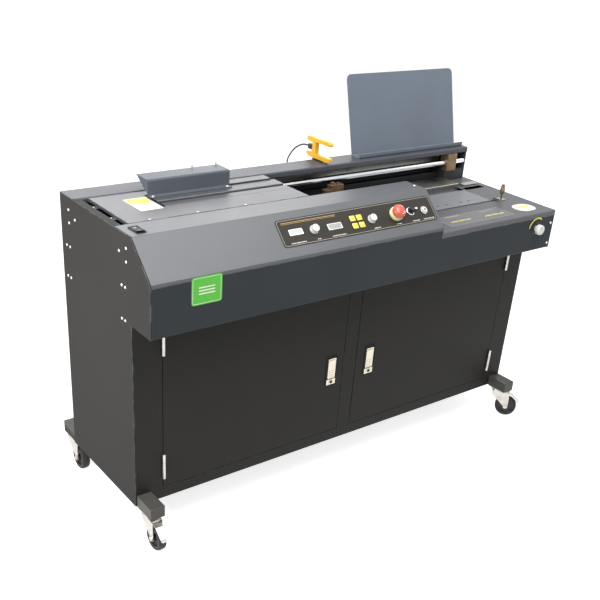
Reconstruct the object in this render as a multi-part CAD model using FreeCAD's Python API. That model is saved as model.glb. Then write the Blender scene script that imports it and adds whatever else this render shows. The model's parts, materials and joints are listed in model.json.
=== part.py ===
"""Perfect binding machine on a two-door cabinet with four casters.

Millimetres. While it is built, x runs from the left side plate's outer face to the right, y from the
skirt's front face to the back and z up from the floor. At the end every piece is moved so that the
origin is the centre of the outline on the floor: +X right, +Y to the back, +Z up.
"""
import FreeCAD
import Part
import math
import os

Vector = FreeCAD.Vector

# Covers, measured over the outside
body_length = 1450.0
body_depth = 477.0
table_top = 870.0
shelf_top = table_top - 104.0
hood_end = 946.0
hood_rear = 179.0
slope_head = 92.0
slope_foot = table_top - 88.0
skirt_foot = slope_foot - 139.0
hood_lip = 8.0
hood_flange = 20.0
shelf_lip = 16.0
rear_cover_front = body_depth - 81.0
rear_cover_end = body_length - 12.0
rear_cover_foot = shelf_top
rear_lip = 15.0
side_gauge = 3.0
cover_gauge = 2.0
bend = 2.5
seam = 0.8
side_flange = 21.0

# Table around the clamp
table_left = 42.0
table_end = 588.0
table_gauge = 3.0
clamp_slot_left = 182.0
clamp_slot_rear = rear_cover_front - 34.0
clamp_slot_front = clamp_slot_rear - 104.0
table_tab = 9.0
table_tab_drop = 6.0
table_tabs = (rear_cover_front - 144.0, rear_cover_front - 49.0)
tab_screw_x = 31.0

# Cabinet
cabinet_front = 95.0
cabinet_foot = 104.0
door_foot = 138.0
door_head = skirt_foot - 31.0
left_door_edge = 84.0
stile_left = body_length / 2 - 24.0
stile_right = body_length / 2 + 24.0
right_door_edge = body_length - 75.0
door_gap = 2.0
door_gauge = 1.5
door_depth = 16.0
frame_flange = 14.0
deck_gauge = 4.0
floor_flange = 22.0
louvre_count = 9
louvre_length = 150.0
louvre_height = 5.0
louvre_pitch = 16.0

# Door hinges and paddle latches
hinge_radius = 4.5
hinge_pin_radius = 2.2
hinge_leaf = 0.8
knuckle_length = 26.0
hinge_heights = (door_foot + 32.0, door_head - 67.0)
latch_width = 42.0
latch_height = 100.0
latch_level = (door_foot + door_head) / 2 - 23.0
left_latch_x = stile_left - 45.0
right_latch_x = stile_right + 56.0
latch_bezel = 2.0
latch_pocket = 12.0
paddle_width = 28.0
paddle_height = 66.0
paddle_gauge = 4.0
paddle_pin_radius = 2.5
lock_radius = 7.0
lock_drop = 34.0

# Skids and casters
skid_width = 43.0
skid_height = 34.0
skid_wall = 2.5
skid_front = 18.0
skid_rear = body_depth + 82.0
skid_cap = 3.0
caster_front = 65.0
caster_rear = skid_rear - 29.0
caster_trail = 38.0
caster_plate_gauge = 2.5
caster_plate_length = 55.0
kingpin_radius = 6.0
swivel_head_radius = 21.0
swivel_head_height = 9.0
fork_gauge = 2.5
fork_gap = 1.5
wheel_radius = 37.5
wheel_width = 24.0
tread_thickness = 9.0
tread_shoulder = 3.5
axle_radius = 4.0
axle_head_radius = 6.5
axle_head = 3.5
front_left_swivel = 0.0
front_right_swivel = 36.9
rear_left_swivel = 0.0
rear_right_swivel = 14.0
pedal_gauge = 2.5
pedal_width = 24.0
pedal_pin_radius = 3.0
pedal_pin = (30.0, 83.0)
pedal_bend = (55.0, 78.5)
pedal_tip = (81.0, 57.0)

# Guide rod, rail and their pillars, all at the back under the rear cover
rod_radius = 10.0
rod_back = rear_cover_front + 13.0
rod_level = table_top - 44.5
rail_front = rear_cover_front + 50.0
rail_gauge = 8.0
rail_foot = table_top - 48.0
rail_height = 16.0
pillar_left = 14.0
pillar_width = 30.0
pillar_front = rod_back - 20.0
pillar_rear = body_depth - 15.0
pillar_top = table_top - 20.0
gearbox_right = rear_cover_end - 6.0
gearbox_left = gearbox_right - 86.0
gearbox_front = rear_cover_front + 2.0
gearbox_top = table_top - 70.0
gearbox_upright = rear_cover_front + 40.0
gearbox_upright_top = table_top - 25.0
rod_block_width = 42.0
rod_block_depth = 34.0
rod_block_top = table_top - 14.0
well_wall_y = rear_cover_front + 34.0
well_wall_top = table_top - 80.0
well_wall_foot = 24.0

# Carriage drive belt
pulley_radius = 20.0
pulley_level = gearbox_top
pulley_shaft_radius = 6.0
pulley_shaft_length = 30.0
pulley_flange = 2.0
belt_front = body_depth - 12.0
belt_width = 7.0
belt_gauge = 1.5
belt_clearance = 0.3
idler_x = pillar_left + pillar_width / 2
drive_x = gearbox_right - 37.0

# Clamp carriage
jaw_left = clamp_slot_left + 14.0
jaw_right = table_end + 12.0
jaw_top = table_top - 4.0
jaw_foot = table_top - 85.0
rear_jaw_face = clamp_slot_front + 57.0
rear_jaw_depth = 45.0
rear_jaw_rear = rear_jaw_face + rear_jaw_depth
rear_jaw_wall = 14.0
jaw_roof = 12.0
jaw_end_block = 30.0
front_jaw_right = jaw_right - 5.0
front_jaw_front = clamp_slot_front + 11.0
front_jaw_face = front_jaw_front + 28.0
front_jaw_wall = 12.0
grip_groove = 1.5
grip_groove_count = 6
jaw_shaft_radius = 6.0
jaw_shaft_z = table_top - 24.0
jaw_shaft_inset = 14.0
jaw_shaft_rear = rod_back + 16.0
carriage_plate_foot = table_top - 30.0
carriage_plate_gauge = 10.0
carriage_plate_inset = 28.0
bearing_block_width = 50.0
bearing_block_depth = 40.0
bearing_block_height = 35.0
bearing_radius = 15.0
bearing_offset = 70.0
shoe_wall = 7.7
shoe_gap = 0.3
shoe_drop = 16.0
belt_grip_length = 40.0

# Backing bracket on the rear jaw
bracket_left = jaw_left - 8.0
bracket_right = bracket_left + 254.0
bracket_gauge = 3.0
bracket_foot_front = rear_jaw_rear - 22.0
bracket_back = rear_jaw_rear - 5.0
bracket_top = table_top + 42.0
bracket_rear = rear_cover_front + 16.0
bracket_pin_radius = 2.0
bracket_pin_height = 9.0
bracket_pin_x = (bracket_right - 88.0, bracket_right - 11.0)
bracket_pin_y = bracket_rear - 6.0
bracket_screw_inset = 12.0
bracket_gusset = 36.0

# Milling head and glue unit in the well
cutter_x = table_end + 77.0
spine_y = rear_jaw_face - 9.0
cutter_radius = 58.0
cutter_thickness = 12.0
cutter_top = table_top - 96.0
cutter_tooth_height = 4.0
cutter_tooth_count = 10
cutter_tooth_width = 7.0
cutter_shaft_radius = 9.0
cutter_shaft_length = 46.0
cutter_motor_radius = 44.0
cutter_motor_top = table_top - 128.0
glue_left = table_end + 157.0
glue_right = glue_left + 160.0
glue_front = spine_y - 48.0
glue_rear = spine_y + 46.0
glue_top = table_top - 106.0
nozzle_x = glue_left + 77.0
nozzle_width = 20.0
nozzle_height = 12.0
nozzle_slot = 2.0
manifold_left = glue_left + 55.0
manifold_right = manifold_left + 72.0
manifold_front = glue_rear + 12.0
manifold_rear = manifold_front + 22.0
manifold_top = table_top - 52.0
manifold_foot = glue_top - 60.0
manifold_fitting_radius = 7.0
manifold_fitting_height = 8.0

# Cover table and nip bar at the right
cover_table_level = shelf_top - 9.0
cover_table_right = gearbox_left - 12.0
cover_slot_front = 156.0
cover_slot_rear = 162.0
cover_slot_end = cover_table_right + 50.0
cover_hole_radius = 2.5
cover_hole_x = tuple(cover_table_right - inset for inset in (219.0, 177.0, 114.0, 80.0))
cover_hole_y = cover_slot_rear + 32.0
nip_rear = rear_cover_front
nip_front = nip_rear - 78.0
nip_top = shelf_top + 14.0
nip_clearance = 0.3
guide_slot_front = rear_cover_front - 112.0
guide_slot_rear = guide_slot_front + 24.0
guide_slot_left = cover_table_right + 6.0
guide_slot_right = body_length - 22.0
guide_bar_height = 6.0

# Cover stop that slides along the slot, with its clamp knob
stop_plate_left = cover_slot_end - 40.0
stop_plate_right = cover_slot_end - 4.0
stop_plate_front = cover_slot_front - 10.0
stop_plate_rear = cover_slot_rear + 10.0
stop_plate_gauge = 2.0
stop_knob_x = cover_slot_end - 15.0
stop_pin_radius = 2.5
stop_pin_drop = 6.5
stop_nut_height = 4.0
stop_nut_radius = 7.0
stop_stem_radius = 3.0
stop_stem_height = 16.0
stop_knob_radius = 8.0
stop_knob_height = 30.0

# Cover rack on the rear cover
rack_right = rear_cover_end - 6.0
rack_left = rack_right - 460.0
rack_front = rear_cover_front + 22.0
rack_rear = body_depth - 19.0
rack_lip = 13.0
rack_gauge = 2.0
rack_height = 236.0
rack_lean = 14.4
rack_corner = 16.0

# Fork sensor on the rear cover and its cable
sensor_x = rack_left - 134.0
sensor_width = 15.0
prong_tip = rear_cover_front + 4.0
prong_end = body_depth + 35.0
lower_prong_foot = table_top + 6.0
lower_prong_top = lower_prong_foot + 13.0
upper_prong_foot = lower_prong_top + 36.0
upper_prong_top = upper_prong_foot + 12.0
sensor_web_front = body_depth - 9.0
sensor_web_rear = body_depth + 7.0
sensor_foot_width = 20.0
sensor_foot_front = body_depth - 31.0
plug_width = 13.0
plug_length = 22.0
plug_foot = lower_prong_top + 8.0
plug_top = plug_foot + 16.0
plug_collar_radius = 4.5
cable_diameter = 5.0
cable_points = (
    (sensor_x, body_depth + 35.0, table_top + 35.0),
    (sensor_x, body_depth + 54.0, table_top + 35.0),
    (sensor_x - 9.4, body_depth + 70.2, table_top + 27.9),
    (sensor_x - 26.1, body_depth + 77.0, table_top + 15.4),
    (sensor_x - 59.6, body_depth + 63.4, table_top - 9.7),
    (sensor_x - 80.8, body_depth + 27.0, table_top - 25.6),
    (sensor_x - 80.8, body_depth + 3.0, table_top - 25.6),
)
gland_radius = 8.0
gland_length = 3.0

# Control panel on the slope; s is measured down the slope from its upper edge
panel_right = hood_end - 8.0
panel_left = panel_right - 542.0
panel_head_s = 21.0
panel_foot_s = 99.0
panel_gauge = 1.0
panel_corner = 9.0
window_gauge = 0.6
first_window = (panel_left + 36.0, panel_left + 74.0, 53.0, 68.0)
second_window = (panel_left + 159.0, panel_left + 202.0, 55.0, 72.0)
key_columns = (panel_left + 244.0, panel_left + 267.5)
key_rows = (52.0, 74.0)
key_width = 18.0
key_depth = 16.0
key_height = 1.6
key_stem = 6.0
key_travel = 0.8
speed_knob_x = panel_left + 109.0
heat_knob_x = panel_left + 308.0
knob_s = 63.0
knob_radius = 12.5
knob_height = 14.0
knob_skirt = 2.5
knob_shaft_radius = 3.0
panel_shaft_length = 12.0
estop_x = panel_left + 397.0
estop_s = 62.0
estop_radius = 20.0
estop_head = 13.0
estop_height = 30.0
estop_edge = 4.0
estop_neck_radius = 11.0
estop_collar_radius = 21.0
estop_collar_height = 10.0
selector_x = panel_left + 455.0
selector_s = 60.0
selector_base_radius = 10.0
selector_base_height = 5.0
selector_lever_length = 22.0
selector_lever_width = 7.0
selector_lever_height = 9.0
end_button_x = panel_left + 504.0
end_button_s = 64.0
end_button_radius = 8.0
end_button_height = 7.0
end_bezel_radius = 12.0
end_bezel_height = 3.0
shaft_clearance = 0.05
rocker_x = 38.0
rocker_y = hood_rear - 50.0
rocker_width = 20.0
rocker_length = 42.0
rocker_bezel = 3.0
rocker_rise = 2.0
rocker_clearance = 0.5

# Adjusting knob on the skirt
skirt_knob_x = body_length - 80.0
skirt_knob_z = skirt_foot + 74.0
skirt_knob_radius = 16.0
skirt_knob_length = 22.0
skirt_knob_edge = 1.5
skirt_knob_shaft = 5.0
skirt_knob_spindle = 26.0

# Screws and mains inlet
screw_radius = 4.0
screw_head = 2.0
rear_side_screws = ((51.0, 33.0), (87.0, 50.0), (51.0, 68.0), (29.0, 134.0), (49.0, 134.0), (26.0, 222.0),
                    (45.0, 222.0))
front_side_screws = ((113.0, 34.0), (149.0, 51.0), (114.0, 68.0), (140.0, 135.0), (122.0, 135.0),
                     (143.0, 224.0), (126.0, 224.0))
side_screws = tuple((body_depth - inset, table_top - drop) for inset, drop in rear_side_screws)
side_screws += tuple((y, table_top - drop) for y, drop in front_side_screws)
skirt_screw_inset = 12.0
skirt_screw_heights = (skirt_foot + 17.0, skirt_foot + 83.0)
hood_screw = (hood_end - 11.0, hood_rear - 50.0)
inlet_x = body_length - 150.0
inlet_z = cabinet_foot + 106.0
inlet_width = 50.0
inlet_height = 30.0
inlet_flange = 3.0
inlet_body = 24.0

# Sizes that follow from the ones above
slope_depth = table_top - slope_foot
slope_angle = math.degrees(math.atan2(slope_depth, slope_head))
inner_left = side_gauge + seam
inner_right = body_length - side_gauge - seam
deck_foot = skirt_foot + cover_gauge + bend
deck_top = deck_foot + deck_gauge
rear_cover_top = table_top + cover_gauge
rear_inner = body_depth - cover_gauge
skid_top = cabinet_foot + skid_height
skid_inner_left = side_gauge + seam + skid_width
skid_inner_right = body_length - skid_inner_left
axle_level = wheel_radius
caster_top = cabinet_foot
head_top = caster_top - caster_plate_gauge - 0.2
head_foot = head_top - swivel_head_height
fork_inside = wheel_width / 2 + fork_gap
caster_places = {
    "front_left": (side_gauge + seam + skid_width / 2, caster_front, front_left_swivel),
    "front_right": (body_length - side_gauge - seam - skid_width / 2, caster_front, front_right_swivel),
    "rear_left": (side_gauge + seam + skid_width / 2, caster_rear, rear_left_swivel),
    "rear_right": (body_length - side_gauge - seam - skid_width / 2, caster_rear, rear_right_swivel),
}
left_hinge_x = left_door_edge + door_gap / 2
right_hinge_x = right_door_edge - door_gap / 2
hinge_y = cabinet_front - hinge_radius - 0.3

pieces = {}


def box(x0, x1, y0, y1, z0, z1):
    return Part.makeBox(x1 - x0, y1 - y0, z1 - z0, Vector(x0, y0, z0))


def rod_x(x0, x1, y, z, radius):
    return Part.makeCylinder(radius, x1 - x0, Vector(x0, y, z), Vector(1, 0, 0))


def rod_y(x, y0, y1, z, radius):
    return Part.makeCylinder(radius, y1 - y0, Vector(x, y0, z), Vector(0, 1, 0))


def rod_z(x, y, z0, z1, radius):
    return Part.makeCylinder(radius, z1 - z0, Vector(x, y, z0))


def prism_x(points, x0, x1):
    """A flat outline in y and z, pushed from x0 to x1."""
    corners = [Vector(x0, y, z) for y, z in points]
    face = Part.Face(Part.makePolygon(corners + corners[:1]))
    return face.extrude(Vector(x1 - x0, 0, 0))


def prism_z(points, z0, z1):
    """A flat outline in x and y, pushed from z0 to z1."""
    corners = [Vector(x, y, z0) for x, y in points]
    face = Part.Face(Part.makePolygon(corners + corners[:1]))
    return face.extrude(Vector(0, 0, z1 - z0))


def rounded_box(x0, x1, y0, y1, z0, z1, radius, axis):
    """A box whose four edges along one axis are rounded."""
    block = box(x0, x1, y0, y1, z0, z1)
    edges = [e for e in block.Edges if abs(e.tangentAt(e.FirstParameter).dot(axis)) > 0.99]
    return block.makeFillet(radius, edges)


def unit(u, v):
    length = math.hypot(u, v)
    return u / length, v / length


def offset_path(points, distance):
    """An open path moved to its left, with mitred corners."""
    moved = []
    for i, (u, v) in enumerate(points):
        normals = []
        for a, b in ((i - 1, i), (i, i + 1)):
            if a >= 0 and b < len(points):
                du, dv = unit(points[b][0] - points[a][0], points[b][1] - points[a][1])
                normals.append((-dv, du))
        share = distance / (1 + normals[0][0] * normals[-1][0] + normals[0][1] * normals[-1][1])
        if len(normals) == 1:
            moved.append((u + normals[0][0] * distance, v + normals[0][1] * distance))
        else:
            across, along = (normals[0][k] + normals[1][k] for k in (0, 1))
            moved.append((u + across * share, v + along * share))
    return moved


def rounded_edges(points, radii, x):
    """Lines along an open path in the plane of one x, with an arc at each corner."""
    edges = []
    start = points[0]
    for i, radius in enumerate(radii):
        before, corner, after = points[i:i + 3]
        au, av = unit(before[0] - corner[0], before[1] - corner[1])
        bu, bv = unit(after[0] - corner[0], after[1] - corner[1])
        half = math.acos(max(-1.0, min(1.0, au * bu + av * bv))) / 2
        reach = radius / math.tan(half)
        mu, mv = unit(au + bu, av + bv)
        depth = radius / math.sin(half) - radius
        first = (corner[0] + au * reach, corner[1] + av * reach)
        middle = (corner[0] + mu * depth, corner[1] + mv * depth)
        last = (corner[0] + bu * reach, corner[1] + bv * reach)
        edges.append(Part.LineSegment(Vector(x, *start), Vector(x, *first)).toShape())
        edges.append(Part.Arc(Vector(x, *first), Vector(x, *middle), Vector(x, *last)).toShape())
        start = last
    edges.append(Part.LineSegment(Vector(x, *start), Vector(x, *points[-1])).toShape())
    return edges


def folded_sheet(points, gauge, x0, x1):
    """A sheet folded along a path in y and z, on the path's left, pushed from x0 to x1."""
    left = offset_path(points, gauge)
    right_radii = []
    left_radii = []
    for (ya, za), (yb, zb), (yc, zc) in zip(points, points[1:], points[2:]):
        turns_left = (yb - ya) * (zc - zb) - (zb - za) * (yc - yb) > 0
        right_radii.append(bend + gauge if turns_left else bend)
        left_radii.append(bend if turns_left else bend + gauge)
    edges = rounded_edges(points, right_radii, x0)
    edges.append(Part.LineSegment(Vector(x0, *points[-1]), Vector(x0, *left[-1])).toShape())
    edges += rounded_edges(left[::-1], left_radii[::-1], x0)
    edges.append(Part.LineSegment(Vector(x0, *left[0]), Vector(x0, *points[0])).toShape())
    return Part.Face(Part.Wire(edges)).extrude(Vector(x1 - x0, 0, 0))


def on_slope(shape):
    """Moves a shape drawn on a level panel, its upper edge at y 0, onto the slope."""
    shape.rotate(Vector(0, 0, 0), Vector(1, 0, 0), slope_angle)
    shape.translate(Vector(0, slope_head, table_top))
    return shape


def panel_rod(x, s, w0, w1, radius):
    """A round piece square to the slope, from height w0 to w1 over it."""
    return on_slope(rod_z(x, -s, w0, w1, radius))


def group(shapes):
    return Part.makeCompound(shapes)


def side_plates():
    """One plate each side, from the table to the cabinet's foot; the left one carries a top flange."""
    step = [(cabinet_front, cabinet_foot), (cabinet_front, skirt_foot), (0, skirt_foot)]
    left = step + [
        (0, slope_foot), (slope_head, table_top), (body_depth, table_top), (body_depth, cabinet_foot),
    ]
    right = step + [(0, shelf_top), (body_depth, shelf_top), (body_depth, cabinet_foot)]
    flange = box(0, side_flange, hood_rear + seam, rear_cover_front - seam, table_top - side_gauge, table_top)
    pieces["left_side_plate"] = prism_x(left, 0, side_gauge).fuse(flange).removeSplitter()
    pieces["right_side_plate"] = prism_x(right, body_length - side_gauge, body_length)


def control_hood():
    """Top strip, slope and lip in one folded sheet, closed at its right end."""
    path = [
        (hood_rear, table_top - hood_flange), (hood_rear, table_top), (slope_head, table_top),
        (0, slope_foot), (0, slope_foot - hood_lip),
    ]
    sheet = folded_sheet(path, cover_gauge, inner_left, hood_end)
    end = [
        (cover_gauge, shelf_top - cover_gauge), (cover_gauge, slope_foot - cover_gauge / 2),
        (slope_head, table_top - cover_gauge), (hood_rear - cover_gauge, table_top - cover_gauge),
        (hood_rear - cover_gauge, shelf_top - cover_gauge),
    ]
    sheet = sheet.fuse(prism_x(end, hood_end - cover_gauge, hood_end))
    holes = [rocker_hole()]
    for x, s, radius in (
        (speed_knob_x, knob_s, knob_shaft_radius), (heat_knob_x, knob_s, knob_shaft_radius),
        (estop_x, estop_s, estop_neck_radius), (selector_x, selector_s, knob_shaft_radius),
        (end_button_x, end_button_s, end_button_radius),
    ):
        holes.append(panel_rod(x, s, -cover_gauge - 5, 5, radius + shaft_clearance))
    for x in key_columns:
        for s in key_rows:
            holes.append(panel_rod(x, s, -cover_gauge - 5, 5, key_stem / 2 + shaft_clearance))
    pieces["control_hood"] = sheet.cut(holes).removeSplitter()


def rocker_hole():
    half_x = rocker_width / 2 + rocker_clearance
    half_y = rocker_length / 2 + rocker_clearance
    return box(rocker_x - half_x, rocker_x + half_x, rocker_y - half_y, rocker_y + half_y,
               table_top - 10, table_top + 10)


def front_skirt():
    """Front panel with its foot folded under; it is lower where the shelf's lip comes down."""
    top = slope_foot - hood_lip - seam
    path = [(0, top), (0, skirt_foot), (cabinet_front - seam, skirt_foot)]
    sheet = folded_sheet(path, cover_gauge, inner_left, inner_right)
    step = box(hood_end + seam, inner_right + 1, -1, cover_gauge + 1, shelf_top - shelf_lip - seam, top + 1)
    spindle = rod_y(skirt_knob_x, -1, cover_gauge + 1, skirt_knob_z, skirt_knob_shaft + shaft_clearance)
    pieces["front_skirt"] = sheet.cut([step, spindle])


def shelf_cover():
    """Low deck at the right with a front lip, round two sides of the cover table."""
    x0 = hood_end + seam
    front = folded_sheet([(cover_slot_front, shelf_top), (0, shelf_top), (0, shelf_top - shelf_lip)],
                         cover_gauge, x0, inner_right)
    side = box(cover_table_right + seam, inner_right, cover_slot_front - 1, rear_cover_front - seam,
               shelf_top - cover_gauge, shelf_top)
    stop_slot = box(cover_table_right, cover_slot_end, cover_slot_front, cover_slot_rear,
                    shelf_top - 10, shelf_top + 10)
    guide_slot = box(guide_slot_left, guide_slot_right, guide_slot_front, guide_slot_rear,
                     shelf_top - 10, shelf_top + 10)
    bar = box(guide_slot_left + 18, guide_slot_right, guide_slot_rear + 6, guide_slot_rear + 30,
              shelf_top, shelf_top + guide_bar_height)
    corner = box(gearbox_right + seam, inner_right, rear_cover_front - 1, rear_inner - seam,
                 shelf_top - cover_gauge, shelf_top)
    plate = front.fuse([side, corner]).cut([stop_slot, guide_slot]).removeSplitter()
    pieces["shelf_cover"] = group([plate, bar])


def table_cover():
    """Table plate, cut out round the two clamp jaws and open to the well at its right."""
    x1 = table_end
    y0 = hood_rear + seam
    y1 = rear_cover_front - seam
    outline = [
        (table_left, y0), (x1, y0), (x1, clamp_slot_front), (clamp_slot_left, clamp_slot_front),
        (clamp_slot_left, clamp_slot_rear), (x1, clamp_slot_rear), (x1, y1), (table_left, y1),
    ]
    plate = prism_z(outline, table_top - table_gauge, table_top)
    foot = table_top - table_gauge - table_tab_drop
    parts = [box(table_left, table_left + table_gauge, y0, y1, foot, table_top - table_gauge)]
    for y in table_tabs:
        parts.append(box(side_gauge, table_left, y - table_tab, y + table_tab, foot - table_gauge, foot))
        parts.append(box(table_left, table_left + table_gauge, y - table_tab, y + table_tab,
                         foot - table_gauge, foot))
    pieces["table_cover"] = plate.fuse(parts).removeSplitter()


def rear_cover():
    """Long cover over the guide rod, open to the front under its lip and closed at its right end."""
    path = [
        (body_depth, rear_cover_foot), (body_depth, rear_cover_top), (rear_cover_front, rear_cover_top),
        (rear_cover_front, rear_cover_top - rear_lip),
    ]
    sheet = folded_sheet(path, cover_gauge, inner_left, rear_cover_end)
    overlap = box(0, inner_left + 1, rear_cover_front + bend + cover_gauge, body_depth - bend - cover_gauge,
                  table_top, rear_cover_top)
    front_inner = rear_cover_front + cover_gauge
    end = prism_x([
        (front_inner, rear_cover_foot), (front_inner, rear_cover_top - 1),
        (rear_inner, rear_cover_top - 1), (rear_inner, rear_cover_foot),
    ], rear_cover_end - cover_gauge, rear_cover_end)
    gland = rod_y(cable_points[-1][0], rear_inner - 1, body_depth + 1, cable_points[-1][2],
                  gland_radius - 2)
    pieces["rear_cover"] = sheet.fuse([overlap, end]).removeSplitter().cut(gland)


def cabinet_shell():
    """Front frame with two door openings, back panel with louvres, floor and the deck above them."""
    y0 = cabinet_front
    y1 = cabinet_front + cover_gauge
    panel = box(inner_left, inner_right, y0, y1, cabinet_foot, skirt_foot)
    openings = []
    flanges = []
    for x0, x1 in ((left_door_edge, stile_left), (stile_right, right_door_edge)):
        openings.append(box(x0, x1, y0 - 1, y1 + frame_flange + 1, door_foot, door_head))
        flanges.append(box(x0 - cover_gauge, x1 + cover_gauge, y1, y1 + frame_flange,
                           door_foot - cover_gauge, door_head + cover_gauge))
    notches = [
        box(inner_left - 1, skid_inner_left + seam, y0 - 1, y1 + 1, cabinet_foot - 1, skid_top + seam),
        box(skid_inner_right - seam, inner_right + 1, y0 - 1, y1 + 1, cabinet_foot - 1, skid_top + seam),
    ]
    frame = panel.fuse(flanges).cut(openings + notches)
    hinges = []
    for x, edge, inward in ((left_hinge_x, left_door_edge, 1), (right_hinge_x, right_door_edge, -1)):
        for z in hinge_heights:
            hinges.append(fixed_hinge(x, edge, inward, z))
    pieces["cabinet_front_frame"] = group([frame.removeSplitter()] + hinges)

    back = box(inner_left, inner_right, rear_inner, body_depth, cabinet_foot, rear_cover_foot - seam)
    cuts = [
        box(inner_left - 1, skid_inner_left + seam, rear_inner - 1, body_depth + 1, cabinet_foot - 1,
            skid_top + seam),
        box(skid_inner_right - seam, inner_right + 1, rear_inner - 1, body_depth + 1, cabinet_foot - 1,
            skid_top + seam),
        box(inlet_x - inlet_width / 2 + 4, inlet_x + inlet_width / 2 - 4, rear_inner - 1, body_depth + 1,
            inlet_z - inlet_height / 2 + 3, inlet_z + inlet_height / 2 - 3),
    ]
    for centre in (body_length * 0.25, body_length * 0.75):
        for row in range(louvre_count):
            z = skirt_foot - 40 - row * louvre_pitch
            cuts.append(box(centre - louvre_length / 2, centre + louvre_length / 2, rear_inner - 1,
                            body_depth + 1, z - louvre_height, z))
    pieces["cabinet_back_panel"] = back.cut(cuts)

    foot = cabinet_foot + cover_gauge
    path = [
        (y1 + seam, foot + floor_flange), (y1 + seam, foot), (rear_inner, foot),
        (rear_inner, foot + floor_flange),
    ]
    pieces["cabinet_floor"] = folded_sheet(path, cover_gauge, skid_inner_left, skid_inner_right)
    pieces["console_deck"] = box(inner_left, inner_right, cover_gauge, rear_inner, deck_foot, deck_top)


def leaf_plate(edge, inward, near, depth, z0, z1):
    """Thin hinge leaf beside a door opening's edge, from the hinge's axis back into the cabinet."""
    a = edge + inward * near
    b = edge + inward * (near + hinge_leaf)
    return box(min(a, b), max(a, b), hinge_y, cabinet_front + depth, z0, z1)


def fixed_hinge(x, edge, inward, z):
    """Two outer knuckles with their leaves for the frame, and the pin held between them."""
    pin = rod_z(x, hinge_y, z, z + 3 * knuckle_length, hinge_pin_radius)
    solids = []
    for z0 in (z, z + 2 * knuckle_length):
        solids.append(rod_z(x, hinge_y, z0, z0 + knuckle_length, hinge_radius))
        solids.append(leaf_plate(edge, inward, 0, cover_gauge + frame_flange, z0, z0 + knuckle_length))
    return pin.fuse(solids).removeSplitter()


def door(x0, x1, hinge_x, latch_x, name):
    """Folded door pan with a latch pocket, a middle knuckle at each hinge and the latch bezel."""
    left = x0 + door_gap
    right = x1 - door_gap
    foot = door_foot + door_gap
    head = door_head - door_gap
    y0 = cabinet_front
    pan = box(left, right, y0, y0 + door_depth, foot, head)
    pan = pan.cut(box(left + door_gauge, right - door_gauge, y0 + door_gauge, y0 + door_depth + 1,
                      foot + door_gauge, head - door_gauge))
    half_width = latch_width / 2 - latch_bezel
    half_height = latch_height / 2 - latch_bezel
    hole = box(latch_x - half_width, latch_x + half_width, y0 - 1, y0 + door_gauge + 1,
               latch_level - half_height, latch_level + half_height)
    pan = pan.cut(hole)
    edge, inward = (x0, 1) if hinge_x < latch_x else (x1, -1)
    knuckles = []
    for z in hinge_heights:
        z0 = z + knuckle_length + 0.2
        z1 = z + 2 * knuckle_length - 0.2
        knuckle = rod_z(hinge_x, hinge_y, z0, z1, hinge_radius)
        leaf = leaf_plate(edge, inward, door_gap - hinge_leaf, door_depth, z0, z1)
        bore = rod_z(hinge_x, hinge_y, z0 - 1, z1 + 1, hinge_pin_radius + shaft_clearance)
        knuckles.append(knuckle.fuse(leaf).cut(bore))
    pieces[name + "_door"] = group([pan.fuse(knuckles).removeSplitter(), latch_bezel_plate(latch_x)])
    pieces[name + "_latch"] = latch_paddle(latch_x)


def latch_bezel_plate(x):
    """Nickel surround with a pocket behind it, and ears that hold the paddle's pin."""
    y0 = cabinet_front - latch_bezel
    half_width = latch_width / 2
    half_height = latch_height / 2
    plate = rounded_box(x - half_width, x + half_width, y0, cabinet_front, latch_level - half_height,
                        latch_level + half_height, 5.0, Vector(0, 1, 0))
    inner_width = half_width - latch_bezel
    inner_height = half_height - latch_bezel
    cup = box(x - inner_width, x + inner_width, cabinet_front, cabinet_front + latch_pocket,
              latch_level - inner_height, latch_level + inner_height)
    pocket = box(x - inner_width + latch_bezel, x + inner_width - latch_bezel, y0 - 1,
                 cabinet_front + latch_pocket - latch_bezel, latch_level - inner_height + latch_bezel,
                 latch_level + inner_height - latch_bezel)
    pin_hole = rod_x(x - half_width, x + half_width, paddle_pin_y(), paddle_pin_z(),
                     paddle_pin_radius + shaft_clearance)
    barrel = rod_y(x, cabinet_front - bend, cabinet_front + latch_pocket - latch_bezel,
                   latch_level - lock_drop, lock_radius)
    slit = box(x - 0.7, x + 0.7, cabinet_front - bend - 1, cabinet_front - bend + 3,
               latch_level - lock_drop - 3, latch_level - lock_drop + 3)
    return plate.fuse(cup).cut([pocket, pin_hole]).fuse(barrel.cut(slit)).removeSplitter()


def paddle_pin_y():
    return cabinet_front + paddle_gauge


def paddle_pin_z():
    return latch_level + latch_height / 2 - 2 * latch_bezel - 4 * paddle_pin_radius


def latch_paddle(x):
    """Paddle that swings out on a pin near its top, with a lock barrel below it."""
    top = paddle_pin_z() + 2 * paddle_pin_radius
    y0 = cabinet_front - latch_bezel + 0.5
    blade = rounded_box(x - paddle_width / 2, x + paddle_width / 2, y0, y0 + paddle_gauge,
                        top - paddle_height, top, 3.0, Vector(0, 1, 0))
    boss = rod_x(x - paddle_width / 2, x + paddle_width / 2, paddle_pin_y(), paddle_pin_z(),
                 2 * paddle_pin_radius)
    reach = latch_width / 2 - latch_bezel - 0.4
    pin = rod_x(x - reach, x + reach, paddle_pin_y(), paddle_pin_z(), paddle_pin_radius)
    return blade.fuse([boss, pin]).removeSplitter()


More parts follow.
